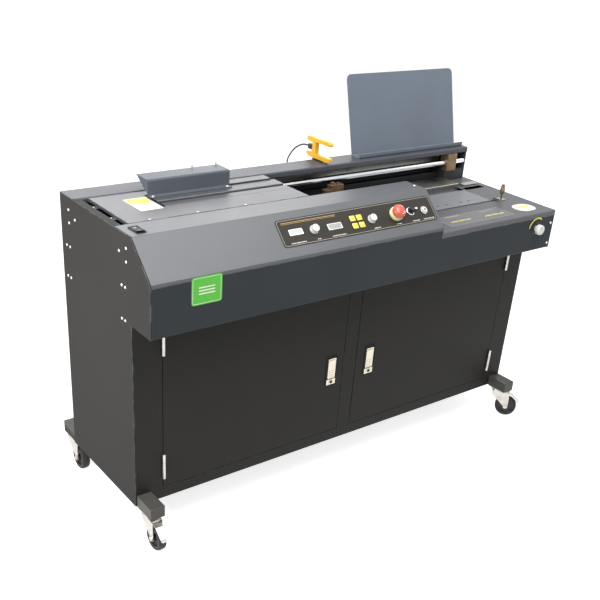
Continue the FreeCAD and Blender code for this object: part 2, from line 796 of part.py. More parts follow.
def skids():
    """Two square tubes under the cabinet, with a plug in each end."""
    solids = []
    for x0 in (inner_left, inner_right - skid_width):
        x1 = x0 + skid_width
        y0 = skid_front + skid_cap
        y1 = skid_rear - skid_cap
        tube = box(x0, x1, y0, y1, cabinet_foot, skid_top)
        bore = box(x0 + skid_wall, x1 - skid_wall, y0 - 1, y1 + 1, cabinet_foot + skid_wall,
                   skid_top - skid_wall)
        solids.append(tube.cut(bore))
        for outer, inner in ((skid_front, y0 + 3 * skid_cap), (skid_rear, y1 - 3 * skid_cap)):
            face = y0 if outer == skid_front else y1
            lid = box(x0, x1, min(outer, face), max(outer, face), cabinet_foot, skid_top)
            lid = lid.makeFillet(1.5, [e for e in lid.Edges if abs(e.CenterOfMass.y - outer) < 0.01])
            plug = box(x0 + skid_wall, x1 - skid_wall, min(face, inner), max(face, inner),
                       cabinet_foot + skid_wall, skid_top - skid_wall)
            solids.append(lid.fuse(plug))
    pieces["skids"] = group(solids)


def swivelled(shape, x, y, angle):
    """A caster piece drawn round the kingpin, trailing to the front, turned and set in its place."""
    shape.rotate(Vector(0, 0, 0), Vector(0, 0, 1), angle)
    shape.translate(Vector(x, y, 0))
    return shape


def caster_plate():
    plate = rounded_box(-skid_width / 2, skid_width / 2, -caster_plate_length / 2, caster_plate_length / 2,
                        caster_top - caster_plate_gauge, caster_top, 4.0, Vector(0, 0, 1))
    return plate.cut(rod_z(0, 0, caster_top - 10, caster_top + 1, kingpin_radius + shaft_clearance))


def caster_fork(with_pedal):
    """Swivel head, kingpin and two cheeks round the wheel, with the axle bolt and any pedal pin."""
    head = Part.makeCone(swivel_head_radius - 2, swivel_head_radius, swivel_head_height,
                         Vector(0, 0, head_foot))
    kingpin = rod_z(0, 0, head_top - 1, caster_top - 0.2, kingpin_radius)
    outer = fork_inside + fork_gauge
    back = -caster_trail - axle_head_radius
    cheek_top = head_foot - fork_gauge / 2
    crown = box(-outer, outer, -caster_trail, swivel_head_radius - 4, head_foot - fork_gauge, head_foot)
    parts = [kingpin, crown]
    for side in (-1, 1):
        inner_x = side * fork_inside
        outer_x = side * outer
        x0 = min(inner_x, outer_x)
        x1 = max(inner_x, outer_x)
        cheek = prism_x([
            (swivel_head_radius - 4, cheek_top), (back, cheek_top), (back - 2, axle_level),
            (back, axle_level - 7), (back + 2 * axle_head_radius, axle_level - 7),
            (back + 2 * axle_head_radius + 1, axle_level), (swivel_head_radius - 6, head_foot - 14),
        ], x0, x1)
        parts.append(cheek)
    if with_pedal:
        parts.append(rod_x(-outer, outer, -pedal_pin[0], pedal_pin[1], pedal_pin_radius))
    parts.append(rod_x(-outer, outer, -caster_trail, axle_level, axle_radius))
    parts.append(rod_x(-outer - axle_head, -outer, -caster_trail, axle_level, axle_head_radius))
    parts.append(rod_x(outer, outer + axle_head, -caster_trail, axle_level, axle_head_radius))
    return head.fuse(parts).removeSplitter()


def caster_wheel():
    """Rubber tyre on a hub with a thin web and a bored boss."""
    half = wheel_width / 2
    tyre = rod_x(-half, half, -caster_trail, axle_level, wheel_radius)
    rims = [e for e in tyre.Edges if e.Closed]
    tyre = tyre.makeChamfer(tread_shoulder, rims)
    rim_radius = wheel_radius - tread_thickness
    tyre = tyre.cut(rod_x(-half - 1, half + 1, -caster_trail, axle_level, rim_radius))
    hub = rod_x(-half + 1, half - 1, -caster_trail, axle_level, rim_radius)
    dish = rod_x(3, half, -caster_trail, axle_level, rim_radius - 4)
    boss = rod_x(-half - fork_gap + 0.3, half + fork_gap - 0.3, -caster_trail, axle_level, axle_radius + 5)
    mirror_dish = rod_x(-half, -3, -caster_trail, axle_level, rim_radius - 4)
    hub = hub.cut([dish, mirror_dish]).fuse(boss)
    hub = hub.cut(rod_x(-half - 3, half + 3, -caster_trail, axle_level, axle_radius + shaft_clearance))
    return group([tyre, hub])


def caster_pedal():
    """Bent foot pedal that turns on a pin between the cheeks, above the tyre."""
    path = [(-pedal_tip[0], pedal_tip[1]), (-pedal_bend[0], pedal_bend[1]), (-pedal_pin[0], pedal_pin[1])]
    plate = folded_sheet(path, pedal_gauge, -pedal_width / 2, pedal_width / 2)
    eye = rod_x(-pedal_width / 2, pedal_width / 2, -pedal_pin[0], pedal_pin[1],
                pedal_pin_radius + pedal_gauge)
    bore = rod_x(-pedal_width, pedal_width, -pedal_pin[0], pedal_pin[1], pedal_pin_radius + shaft_clearance)
    return plate.fuse(eye).removeSplitter().cut(bore)


def casters():
    plates = []
    for name, (x, y, angle) in caster_places.items():
        braked = name.startswith("front")
        plates.append(swivelled(caster_plate(), x, y, 0))
        pieces["fork_" + name] = swivelled(caster_fork(braked), x, y, angle)
        pieces["wheel_" + name] = swivelled(caster_wheel(), x, y, angle)
        if braked:
            pieces["pedal_" + name] = swivelled(caster_pedal(), x, y, angle)
    pieces["caster_plates"] = group(plates)


def guide_ways():
    """Guide rod, its pillar, the gearbox with the bronze rod block, and the rail on the well wall."""
    x0 = pillar_left
    x1 = pillar_left + pillar_width
    pillar = box(x0, x1, pillar_front, pillar_rear, deck_top, pillar_top)
    bores = [
        rod_x(x0 - 1, x1 + 1, rod_back, rod_level, rod_radius),
        rod_y(idler_x, pillar_rear - pulley_shaft_length - 1, pillar_rear + 1, pulley_level,
              pulley_shaft_radius + shaft_clearance),
    ]
    pillar = pillar.cut(bores)
    gearbox = box(gearbox_left, gearbox_right, gearbox_front, pillar_rear, deck_top, gearbox_top)
    upright = box(gearbox_left, gearbox_right, gearbox_upright, pillar_rear, gearbox_top, gearbox_upright_top)
    gearbox = gearbox.fuse(upright).removeSplitter()
    gearbox = gearbox.cut(rod_y(drive_x, pillar_rear - pulley_shaft_length - 1, pillar_rear + 1, pulley_level,
                                pulley_shaft_radius + shaft_clearance))
    block_right = gearbox_left + rod_block_width
    block = box(gearbox_left, block_right, rod_back - rod_block_depth / 2,
                rod_back + rod_block_depth / 2, gearbox_top, rod_block_top)
    block = block.cut(rod_x(gearbox_left - 1, block_right + 1, rod_back, rod_level, rod_radius))
    pieces["rod_end_blocks"] = group([pillar, gearbox, block])
    pieces["guide_rod"] = rod_x(x0, rear_cover_end - cover_gauge - seam, rod_back, rod_level, rod_radius)

    wall = folded_sheet([
        (well_wall_y, well_wall_top), (well_wall_y, deck_top), (well_wall_y + well_wall_foot, deck_top),
    ], cover_gauge, x1, gearbox_left)
    rail = box(x1, gearbox_left, rail_front, rail_front + rail_gauge, rail_foot, rail_foot + rail_height)
    pieces["rail_wall"] = group([rail, wall])


def build_drive():
    """Flat belt round a driven pulley at the gearbox and an idler at the left pillar."""
    inner = pulley_radius
    outer = pulley_radius + belt_gauge
    y0 = belt_front
    y1 = belt_front + belt_width

    def loop(radius):
        ends = [rod_y(x, y0, y1, pulley_level, radius) for x in (idler_x, drive_x)]
        middle = box(idler_x, drive_x, y0, y1, pulley_level - radius, pulley_level + radius)
        return ends[0].fuse([ends[1], middle]).removeSplitter()

    pieces["drive_belt"] = loop(outer).cut(loop(inner))
    for name, x in (("idler_pulley", idler_x), ("drive_pulley", drive_x)):
        rim = rod_y(x, y0 - belt_clearance, y1 + belt_clearance, pulley_level, inner - belt_clearance)
        cheek = rod_y(x, y0 - belt_clearance - pulley_flange, y0 - belt_clearance, pulley_level,
                      inner + belt_gauge)
        shaft = rod_y(x, pillar_rear - pulley_shaft_length, y0, pulley_level, pulley_shaft_radius)
        key = rod_y(x + pulley_radius * 0.6, y0 - belt_clearance, y1 + belt_clearance + 1, pulley_level, 2.5)
        pieces[name] = rim.fuse([cheek, shaft]).removeSplitter().cut(key)


def carriage():
    """Plate from the rear jaw over the rod and rail, with bored bearing blocks, rail shoes and belt grip."""
    x0 = jaw_left + carriage_plate_inset
    x1 = jaw_right - carriage_plate_inset
    z0 = carriage_plate_foot
    z1 = carriage_plate_foot + carriage_plate_gauge
    shoe_rear = rail_front + rail_gauge + shoe_gap + shoe_wall
    parts = []
    bores = []
    rings = []
    middle = (x0 + x1) / 2
    for x in (x0 + bearing_offset / 2, x1 - bearing_offset / 2):
        a = x - bearing_block_width / 2
        b = x + bearing_block_width / 2
        parts.append(box(a, b, rod_back - bearing_block_depth / 2, rod_back + bearing_block_depth / 2,
                         z0 - bearing_block_height, z0))
        parts.append(box(a, b, rail_front - shoe_gap - shoe_wall, rail_front - shoe_gap, z0 - shoe_drop, z0))
        parts.append(box(a, b, rail_front + rail_gauge + shoe_gap, shoe_rear, z0 - shoe_drop, z0))
        bores.append(rod_x(a - 1, b + 1, rod_back, rod_level, bearing_radius))
        ring = rod_x(a, b, rod_back, rod_level, bearing_radius)
        rings.append(ring.cut(rod_x(a - 1, b + 1, rod_back, rod_level, rod_radius + shaft_clearance)))
    grip_top = pulley_level + pulley_radius
    hanger = box(middle - belt_grip_length / 2, middle + belt_grip_length / 2, shoe_rear - shoe_wall,
                 shoe_rear, grip_top - 10, z0)
    upper = box(middle - belt_grip_length / 2, middle + belt_grip_length / 2, shoe_rear - 1,
                belt_front + belt_width, grip_top + belt_gauge + belt_clearance, grip_top + belt_gauge + 8)
    lower = box(middle - belt_grip_length / 2, middle + belt_grip_length / 2, shoe_rear - 1,
                belt_front + belt_width, grip_top - 10, grip_top - belt_clearance)
    plate = box(x0, x1, rear_jaw_rear, shoe_rear, z0, z1)
    body = plate.fuse(parts + [hanger, upper, lower]).cut(bores).removeSplitter()
    pieces["carriage_frame"] = group([body] + rings)


def jaw_shaft_places():
    return (jaw_left + jaw_shaft_inset, front_jaw_right - jaw_shaft_inset + 5)


def grooves(face_y, x0, x1):
    """Shallow grooves along a jaw's gripping face."""
    pitch = (jaw_top - jaw_foot) / (grip_groove_count + 1)
    cuts = []
    for i in range(grip_groove_count):
        z = jaw_foot + pitch * (i + 0.5)
        cuts.append(box(x0, x1, face_y - grip_groove, face_y + grip_groove, z, z + 2 * grip_groove))
    return cuts


def jaws():
    """Rear jaw fixed to the carriage and front jaw sliding to it on two shafts."""
    rear = box(jaw_left, jaw_right, rear_jaw_face, rear_jaw_rear, jaw_foot, jaw_top)
    pocket = box(jaw_left + jaw_end_block, jaw_right - jaw_end_block, rear_jaw_face + rear_jaw_wall,
                 rear_jaw_rear + 1, jaw_foot - 1, carriage_plate_foot - 1)
    top_edges = [e for e in rear.Edges if abs(e.CenterOfMass.z - jaw_top) < 0.01
                 and abs(e.CenterOfMass.y - rear_jaw_face) < 0.01]
    rear = rear.makeChamfer(1.5, top_edges).cut(pocket)
    bores = [rod_y(x, rear_jaw_face - 1, rear_jaw_rear + 1, jaw_shaft_z, jaw_shaft_radius + shaft_clearance)
             for x in jaw_shaft_places()]
    rear = rear.cut(bores + grooves(rear_jaw_face, jaw_left - 1, jaw_right + 1))
    pieces["rear_jaw"] = rear

    front = box(jaw_left, front_jaw_right, front_jaw_front, front_jaw_face, jaw_foot, jaw_top)
    hollow = box(jaw_left + jaw_end_block, front_jaw_right - jaw_end_block, front_jaw_front - 1,
                 front_jaw_face - front_jaw_wall, jaw_foot - 1, jaw_top - jaw_roof)
    top_edges = [e for e in front.Edges if abs(e.CenterOfMass.z - jaw_top) < 0.01
                 and abs(e.CenterOfMass.y - front_jaw_front) < 0.01]
    front = front.makeChamfer(1.5, top_edges).cut(hollow)
    seats = [rod_y(x, front_jaw_front + 8, front_jaw_face + 1, jaw_shaft_z, jaw_shaft_radius)
             for x in jaw_shaft_places()]
    front = front.cut(seats + grooves(front_jaw_face, jaw_left - 1, front_jaw_right + 1))
    shafts = [rod_y(x, front_jaw_front + 8, jaw_shaft_rear, jaw_shaft_z, jaw_shaft_radius)
              for x in jaw_shaft_places()]
    pieces["front_jaw"] = group([front] + shafts)


def backing_bracket():
    """Folded bracket screwed on the rear jaw; its rear flange carries two pins that the sensor reads."""
    path = [
        (bracket_foot_front, jaw_top), (bracket_back, jaw_top), (bracket_back, bracket_top - bracket_gauge),
        (bracket_rear, bracket_top - bracket_gauge),
    ]
    sheet = folded_sheet(path, bracket_gauge, bracket_left, bracket_right)
    gusset = [
        (bracket_back - 1, bracket_top - bracket_gusset), (bracket_back - 1, bracket_top - 1),
        (bracket_rear - 8, bracket_top - 1), (bracket_rear - 8, bracket_top - bracket_gauge - 3),
    ]
    ends = [prism_x(gusset, bracket_left, bracket_left + 2),
            prism_x(gusset, bracket_right - 2, bracket_right)]
    solids = [sheet.fuse(ends).removeSplitter()]
    for x in bracket_pin_x:
        solids.append(rod_z(x, bracket_pin_y, bracket_top, bracket_top + bracket_pin_height,
                            bracket_pin_radius))
    for x in (bracket_left + bracket_screw_inset, bracket_right - bracket_screw_inset):
        solids.append(rod_z(x, bracket_foot_front + 6, jaw_top + bracket_gauge,
                            jaw_top + bracket_gauge + screw_head, screw_radius))
    pieces["backing_bracket"] = group(solids)


def milling_head():
    """Roughening cutter with teeth round its rim, on the shaft of an upright motor."""
    foot = cutter_top - cutter_tooth_height - cutter_thickness
    disc = rod_z(cutter_x, spine_y, foot, cutter_top - cutter_tooth_height, cutter_radius)
    relief = rod_z(cutter_x, spine_y, cutter_top - cutter_tooth_height - 4, cutter_top, cutter_radius - 16)
    hub = rod_z(cutter_x, spine_y, foot, cutter_top - cutter_tooth_height - 1, cutter_shaft_radius + 7)
    shaft = rod_z(cutter_x, spine_y, foot - cutter_shaft_length, foot, cutter_shaft_radius)
    teeth = []
    for i in range(cutter_tooth_count):
        mid = cutter_x + cutter_radius - 8
        tooth = prism_z([
            (mid - cutter_tooth_width, spine_y - cutter_tooth_width / 2),
            (mid + cutter_tooth_width, spine_y - cutter_tooth_width / 2),
            (mid + cutter_tooth_width, spine_y), (mid - cutter_tooth_width, spine_y + cutter_tooth_width / 2),
        ], cutter_top - cutter_tooth_height - 1, cutter_top)
        tooth.rotate(Vector(cutter_x, spine_y, 0), Vector(0, 0, 1), 360.0 * i / cutter_tooth_count)
        teeth.append(tooth)
    pieces["milling_cutter"] = disc.cut(relief).fuse([hub, shaft] + teeth).removeSplitter()

    motor = rod_z(cutter_x, spine_y, deck_top, cutter_motor_top, cutter_motor_radius)
    flange = rounded_box(cutter_x - cutter_motor_radius - 6, cutter_x + cutter_motor_radius + 6,
                         spine_y - cutter_motor_radius - 6, spine_y + cutter_motor_radius + 6,
                         deck_top, deck_top + 8, 12.0, Vector(0, 0, 1))
    bore = rod_z(cutter_x, spine_y, foot - cutter_shaft_length - 2, cutter_motor_top + 1,
                 cutter_shaft_radius + shaft_clearance)
    pieces["cutter_motor"] = motor.fuse(flange).cut(bore)


def glue_unit():
    """Heated glue tank with a slot nozzle across the spine, and the hose manifold behind it."""
    tank = rounded_box(glue_left, glue_right, glue_front, glue_rear, deck_top, glue_top, 10.0,
                       Vector(0, 0, 1))
    lip = prism_z([
        (nozzle_x - nozzle_width / 2, glue_front + 6), (nozzle_x + nozzle_width / 2, glue_front + 6),
        (nozzle_x + nozzle_width / 2, glue_rear - 6), (nozzle_x - nozzle_width / 2, glue_rear - 6),
    ], glue_top, glue_top + nozzle_height)
    slot = box(nozzle_x - nozzle_slot / 2, nozzle_x + nozzle_slot / 2, glue_front + 12, glue_rear - 12,
               glue_top + 2, glue_top + nozzle_height + 1)
    tank = tank.fuse(lip).cut(slot)

    block = rounded_box(manifold_left, manifold_right, manifold_front, manifold_rear, manifold_foot,
                        manifold_top, 4.0, Vector(0, 0, 1))
    neck = box(manifold_left + 12, manifold_right - 12, glue_rear, manifold_front + 1,
               manifold_foot + 10, manifold_foot + 40)
    middle = (manifold_front + manifold_rear) / 2
    step = box(manifold_left - 1, manifold_left + 22, manifold_front - 1, manifold_rear + 1,
               manifold_top - 12, manifold_top + 1)
    fittings = [
        rod_z(manifold_left + 34, middle, manifold_top, manifold_top + manifold_fitting_height,
              manifold_fitting_radius),
        rod_z(manifold_left + 56, middle, manifold_top, manifold_top + manifold_fitting_height / 2,
              manifold_fitting_radius),
    ]
    manifold = block.fuse(neck).cut(step).fuse(fittings).removeSplitter()
    pieces["glue_unit"] = group([tank, manifold])


def cover_station():
    """Cover table on folded legs, and the raised nip bar that closes over it."""
    x0 = hood_end + seam
    path = [
        (nip_rear, deck_top), (nip_rear, cover_table_level), (cover_slot_rear, cover_table_level),
        (cover_slot_rear, deck_top),
    ]
    table = folded_sheet(path, cover_gauge, x0, cover_table_right)
    holes = [rod_z(x, cover_hole_y, cover_table_level - 10, cover_table_level + 1, cover_hole_radius)
             for x in cover_hole_x]
    pieces["cover_table"] = table.cut(holes)
    bar = box(x0 + 3, cover_table_right - 1, nip_front, nip_rear, cover_table_level + nip_clearance, nip_top)
    edges = [e for e in bar.Edges if abs(e.CenterOfMass.z - nip_top) < 0.01
             and abs(e.CenterOfMass.y - nip_front) < 0.01]
    pieces["nip_bar"] = bar.makeFillet(2.0, edges)


def cover_stop():
    """Stop plate over the slot, with a pin, a nut under the shelf and the clamp knob on its stem."""
    y = (cover_slot_front + cover_slot_rear) / 2
    z0 = shelf_top + 0.3
    z1 = z0 + stop_plate_gauge
    plate = rounded_box(stop_plate_left, stop_plate_right, stop_plate_front, stop_plate_rear, z0, z1, 3.0,
                        Vector(0, 0, 1))
    fence = box(stop_plate_left, stop_plate_left + stop_plate_gauge, stop_plate_front, stop_plate_rear, z0,
                z1 + 5)
    pin = rod_z(stop_knob_x, y, shelf_top - stop_pin_drop, z0, stop_pin_radius)
    nut = rod_z(stop_knob_x, y, shelf_top - stop_pin_drop, shelf_top - stop_pin_drop + stop_nut_height,
                stop_nut_radius)
    plate = plate.fuse([fence, pin, nut]).removeSplitter()
    stem = rod_z(stop_knob_x, y, z1, z1 + stop_stem_height, stop_stem_radius)
    low = Part.makeCone(stop_knob_radius * 0.7, stop_knob_radius, stop_knob_height * 0.35,
                        Vector(stop_knob_x, y, z1 + stop_stem_height))
    high = Part.makeCone(stop_knob_radius, stop_knob_radius * 0.6, stop_knob_height * 0.65,
                         Vector(stop_knob_x, y, z1 + stop_stem_height + stop_knob_height * 0.35))
    pieces["cover_stop"] = group([plate, stem.fuse([low, high]).removeSplitter()])


def cover_rack():
    """One folded sheet on the rear cover: lip, ledge and a leaning back with rounded corners."""
    foot = rear_cover_top
    lean = math.radians(rack_lean)
    top = (rack_rear + rack_height * math.tan(lean), foot + rack_height)
    path = [(rack_front, foot + rack_lip), (rack_front, foot), (rack_rear, foot), top]
    sheet = folded_sheet(path, rack_gauge, rack_left, rack_right)
    corners = []
    for x, towards in ((rack_left, 1), (rack_right, -1)):
        centre = x + towards * rack_corner
        corner = box(min(x, centre), max(x, centre), rack_rear, top[0] + rack_corner,
                     top[1] - rack_corner, top[1] + rack_corner)
        round_off = rod_y(centre, rack_front, top[0] + 2 * rack_corner, top[1] - rack_corner, rack_corner)
        corners.append(corner.cut(round_off))
    pieces["cover_rack"] = sheet.cut(corners)


def fork_sensor():
    """Light barrier with two prongs over the rear cover, on a black foot, with its plug and cable."""
    x0 = sensor_x - sensor_width / 2
    x1 = sensor_x + sensor_width / 2
    outline = [
        (prong_tip, lower_prong_foot + 3), (prong_tip + 16, lower_prong_foot),
        (prong_end - 12, lower_prong_foot), (prong_end, lower_prong_foot + 8), (prong_end, lower_prong_top),
        (sensor_web_rear, lower_prong_top + 4), (sensor_web_rear, upper_prong_foot - 4),
        (prong_end, upper_prong_foot), (prong_end - 4, upper_prong_top), (prong_tip + 12, upper_prong_top),
        (prong_tip, upper_prong_top - 4), (prong_tip, upper_prong_foot),
        (sensor_web_front, upper_prong_foot), (sensor_web_front, lower_prong_top),
        (prong_tip, lower_prong_top),
    ]
    fork = prism_x(outline, x0, x1)
    foot = box(sensor_x - sensor_foot_width / 2, sensor_x + sensor_foot_width / 2, sensor_foot_front,
               body_depth, rear_cover_top, lower_prong_foot)
    y0 = sensor_web_rear
    plug = rounded_box(sensor_x - plug_width / 2, sensor_x + plug_width / 2, y0, y0 + plug_length, plug_foot,
                       plug_top, 3.0, Vector(0, 1, 0))
    exit_x, exit_y, exit_z = cable_points[0]
    collar = Part.makeCone(plug_collar_radius, cable_diameter / 2 + 0.6, exit_y - y0 - plug_length,
                           Vector(exit_x, y0 + plug_length, exit_z), Vector(0, 1, 0))
    end_x, end_y, end_z = cable_points[-1]
    gland = rod_y(end_x, body_depth, body_depth + gland_length, end_z, gland_radius)
    neck = rod_y(end_x, rear_inner - 2, body_depth, end_z, gland_radius - 2)
    pieces["sensor_fork"] = group([fork, foot, plug.fuse(collar).removeSplitter(), gland.fuse(neck)])
    pieces["sensor_cable"] = cable_tube()


def cable_tube():
    """Cable of straight runs and tangent arcs along its chosen points."""
    points = [Vector(*p) for p in cable_points]
    edges = []
    start = points[0]
    for before, corner, after in zip(points, points[1:], points[2:]):
        a = (before - corner).normalize()
        b = (after - corner).normalize()
        turn = math.pi - a.getAngle(b)
        run = min(before.distanceToPoint(corner), corner.distanceToPoint(after))
        radius = 0.45 * run / math.tan(turn / 2)
        reach = 0.45 * run
        first = corner + a * reach
        last = corner + b * reach
        bisector = (a + b).normalize()
        middle = corner + bisector * (radius / math.cos(turn / 2) - radius)
        edges.append(Part.LineSegment(start, first).toShape())
        edges.append(Part.Arc(first, middle, last).toShape())
        print("cable bend radius %.1f mm" % radius)
        start = last
    edges.append(Part.LineSegment(start, points[-1]).toShape())
    path = Part.Wire(edges)
    direction = (points[1] - points[0]).normalize()
    ring = Part.Wire(Part.makeCircle(cable_diameter / 2, points[0], direction))
    tube = path.makePipeShell([ring], True, False)
    section = math.pi * cable_diameter ** 2 / 4
    print("cable length %.1f mm, volume share %.4f" % (path.Length, tube.Volume / (section * path.Length)))
    return tube


def control_panel():
    """Printed panel on the slope with its windows, bezels and every control that moves."""
    sheet = box(panel_left, panel_right, -panel_foot_s, -panel_head_s, 0, panel_gauge)
    edges = [e for e in sheet.Edges if abs(e.tangentAt(e.FirstParameter).z) > 0.99]
    sheet = sheet.makeFillet(panel_corner, edges)
    cuts = []
    windows = []
    for x0, x1, s0, s1 in (first_window, second_window):
        cuts.append(box(x0, x1, -s1, -s0, panel_gauge - window_gauge, panel_gauge + 1))
        windows.append(box(x0, x1, -s1, -s0, panel_gauge - window_gauge, panel_gauge))
    for x, s, radius in (
        (speed_knob_x, knob_s, knob_shaft_radius), (heat_knob_x, knob_s, knob_shaft_radius),
        (estop_x, estop_s, estop_neck_radius), (selector_x, selector_s, knob_shaft_radius),
        (end_button_x, end_button_s, end_button_radius),
    ):
        cuts.append(rod_z(x, -s, -1, panel_gauge + 1, radius + shaft_clearance))
    for x in key_columns:
        for s in key_rows:
            cuts.append(rod_z(x, -s, -1, panel_gauge + 1, key_stem / 2 + shaft_clearance))
    sheet = on_slope(sheet.cut(cuts))
    windows = [on_slope(window) for window in windows]

    top = panel_gauge
    collar = rod_z(estop_x, -estop_s, top, top + estop_collar_height, estop_collar_radius)
    collar = collar.cut(rod_z(estop_x, -estop_s, top - 1, top + estop_collar_height + 1,
                              estop_neck_radius + shaft_clearance))
    base = rod_z(selector_x, -selector_s, top, top + selector_base_height, selector_base_radius)
    base = base.cut(rod_z(selector_x, -selector_s, top - 1, top + selector_base_height + 1,
                          knob_shaft_radius + shaft_clearance))
    ring = rod_z(end_button_x, -end_button_s, top, top + end_bezel_height, end_bezel_radius)
    ring = ring.cut(rod_z(end_button_x, -end_button_s, top - 1, top + end_bezel_height + 1,
                          end_button_radius + shaft_clearance))
    bezels = [on_slope(collar), on_slope(base), on_slope(ring), rocker_frame()]
    pieces["control_overlay"] = group([sheet] + windows + bezels)

    for name, x in (("speed_knob", speed_knob_x), ("heat_knob", heat_knob_x)):
        low = rod_z(x, -knob_s, top + 0.3, top + knob_skirt, knob_radius)
        high = Part.makeCone(knob_radius - 2, knob_radius - 3.5, knob_height - knob_skirt,
                             Vector(x, -knob_s, top + knob_skirt))
        shaft = rod_z(x, -knob_s, -panel_shaft_length, top + knob_skirt, knob_shaft_radius)
        mark = box(x - 0.7, x + 0.7, -knob_s + 2, -knob_s + knob_radius, knob_height + top - 1.2,
                   knob_height + top + 1)
        pieces[name] = on_slope(low.fuse([high, shaft]).removeSplitter().cut(mark))

    head_foot_w = top + estop_height - estop_head
    head = rod_z(estop_x, -estop_s, head_foot_w, top + estop_height, estop_radius)
    top_edges = [e for e in head.Edges if e.Closed and e.CenterOfMass.z > head_foot_w + 1]
    head = head.makeChamfer(estop_edge, top_edges)
    neck = rod_z(estop_x, -estop_s, -panel_shaft_length, head_foot_w, estop_neck_radius)
    pieces["estop_button"] = on_slope(head.fuse(neck).removeSplitter())

    z0 = top + selector_base_height + 0.3
    x0 = selector_x - 6
    lever = box(x0, x0 + selector_lever_length, -selector_s - selector_lever_width / 2,
                -selector_s + selector_lever_width / 2, z0, z0 + selector_lever_height)
    lever = lever.makeFillet(2.5, [e for e in lever.Edges if abs(e.tangentAt(e.FirstParameter).z) > 0.99])
    shaft = rod_z(selector_x, -selector_s, -panel_shaft_length, z0, knob_shaft_radius)
    pieces["selector_lever"] = on_slope(lever.fuse(shaft).removeSplitter())

    pieces["end_button"] = panel_rod(end_button_x, end_button_s, -panel_shaft_length, top + end_button_height,
                                     end_button_radius)
    row_names = ("upper", "lower")
    column_names = ("left", "right")
    for column, x in zip(column_names, key_columns):
        for row, s in zip(row_names, key_rows):
            foot = top + key_travel + 0.3
            cap = box(x - key_width / 2, x + key_width / 2, -s - key_depth / 2, -s + key_depth / 2,
                      foot, foot + key_height)
            cap = cap.makeFillet(2.0, [e for e in cap.Edges if abs(e.tangentAt(e.FirstParameter).z) > 0.99])
            stem = rod_z(x, -s, -panel_shaft_length, foot, key_stem / 2)
            pieces["key_%s_%s" % (row, column)] = on_slope(cap.fuse(stem).removeSplitter())


def rocker_frame():
    """Bezel of the power switch, with the hole that its rocker tilts in."""
    half_x = rocker_width / 2
    half_y = rocker_length / 2
    rim = rounded_box(rocker_x - half_x - rocker_bezel, rocker_x + half_x + rocker_bezel,
                      rocker_y - half_y - rocker_bezel, rocker_y + half_y + rocker_bezel,
                      table_top, table_top + rocker_rise, 2.0, Vector(0, 0, 1))
    return rim.cut(rocker_hole())


def power_rocker():
    """Rocker with its two faces folded back a little from the middle, on a cross pin."""
    top = table_top + rocker_rise + 1
    half_y = rocker_length / 2
    outline = [
        (rocker_y - half_y + 1, top + 2), (rocker_y, top - 1), (rocker_y + half_y, top - 1.5),
        (rocker_y + half_y - 4, table_top - 9), (rocker_y - half_y + 4, table_top - 9),
    ]
    pieces["power_rocker"] = prism_x(outline, rocker_x - rocker_width / 2, rocker_x + rocker_width / 2)


def skirt_knob():
    y0 = -skirt_knob_length
    head = rod_y(skirt_knob_x, y0, y0 + skirt_knob_length * 0.62, skirt_knob_z, skirt_knob_radius)
    head = head.makeChamfer(skirt_knob_edge, [e for e in head.Edges if e.Closed])
    neck = rod_y(skirt_knob_x, y0 + skirt_knob_length * 0.6, -0.3, skirt_knob_z, skirt_knob_radius * 0.6)
    spindle = rod_y(skirt_knob_x, -1, cover_gauge + skirt_knob_spindle, skirt_knob_z, skirt_knob_shaft)
    pieces["skirt_knob"] = head.fuse([neck, spindle]).removeSplitter()


def body_screws():
    """Pan-head screws of the side plates and the skirt."""
    heads = []
    for y, z in side_screws:
        heads.append(rod_x(-screw_head, 0, y, z, screw_radius))
        if z < shelf_top - 2 * screw_radius:
            heads.append(rod_x(body_length, body_length + screw_head, y, z, screw_radius))
    for z in skirt_screw_heights:
        heads.append(rod_y(body_length - skirt_screw_inset, -screw_head, 0, z, screw_radius))
    for y in table_tabs:
        foot = table_top - table_gauge - table_tab_drop
        heads.append(rod_z(tab_screw_x, y, foot, foot + screw_head, screw_radius))
    heads.append(rod_z(hood_screw[0], hood_screw[1], table_top, table_top + screw_head, screw_radius))
    pieces["body_screws"] = group(heads)


def mains_inlet():
    """Flanged inlet with a socket and three pins, let into the back panel."""
    half_width = inlet_width / 2
    half_height = inlet_height / 2
    mouth = body_depth + inlet_flange
    flange = rounded_box(inlet_x - half_width, inlet_x + half_width, body_depth, mouth,
                         inlet_z - half_height, inlet_z + half_height, 4.0, Vector(0, 1, 0))
    body = box(inlet_x - half_width + 5, inlet_x + half_width - 5, body_depth - inlet_body, body_depth,
               inlet_z - half_height + 4, inlet_z + half_height - 4)
    socket = box(inlet_x - half_width + 8, inlet_x + half_width - 8, mouth - 16, mouth + 1,
                 inlet_z - half_height + 7, inlet_z + half_height - 7)
    pins = [rod_y(inlet_x + dx, mouth - 16, body_depth, inlet_z, 1.8) for dx in (-9, 0, 9)]
    pieces["mains_inlet"] = flange.fuse(body).cut(socket).fuse(pins)


def build_all():
    side_plates()
    control_hood()
    front_skirt()
    shelf_cover()
    table_cover()
    rear_cover()
    cabinet_shell()
    door(left_door_edge, stile_left, left_hinge_x, left_latch_x, "left")
    door(stile_right, right_door_edge, right_hinge_x, right_latch_x, "right")
    skids()
    casters()
    guide_ways()
    build_drive()
    carriage()
    jaws()
    backing_bracket()
    milling_head()
    glue_unit()
    cover_station()
    cover_stop()
    cover_rack()
    fork_sensor()
    control_panel()
    power_rocker()
    skirt_knob()
    body_screws()
    mains_inlet()


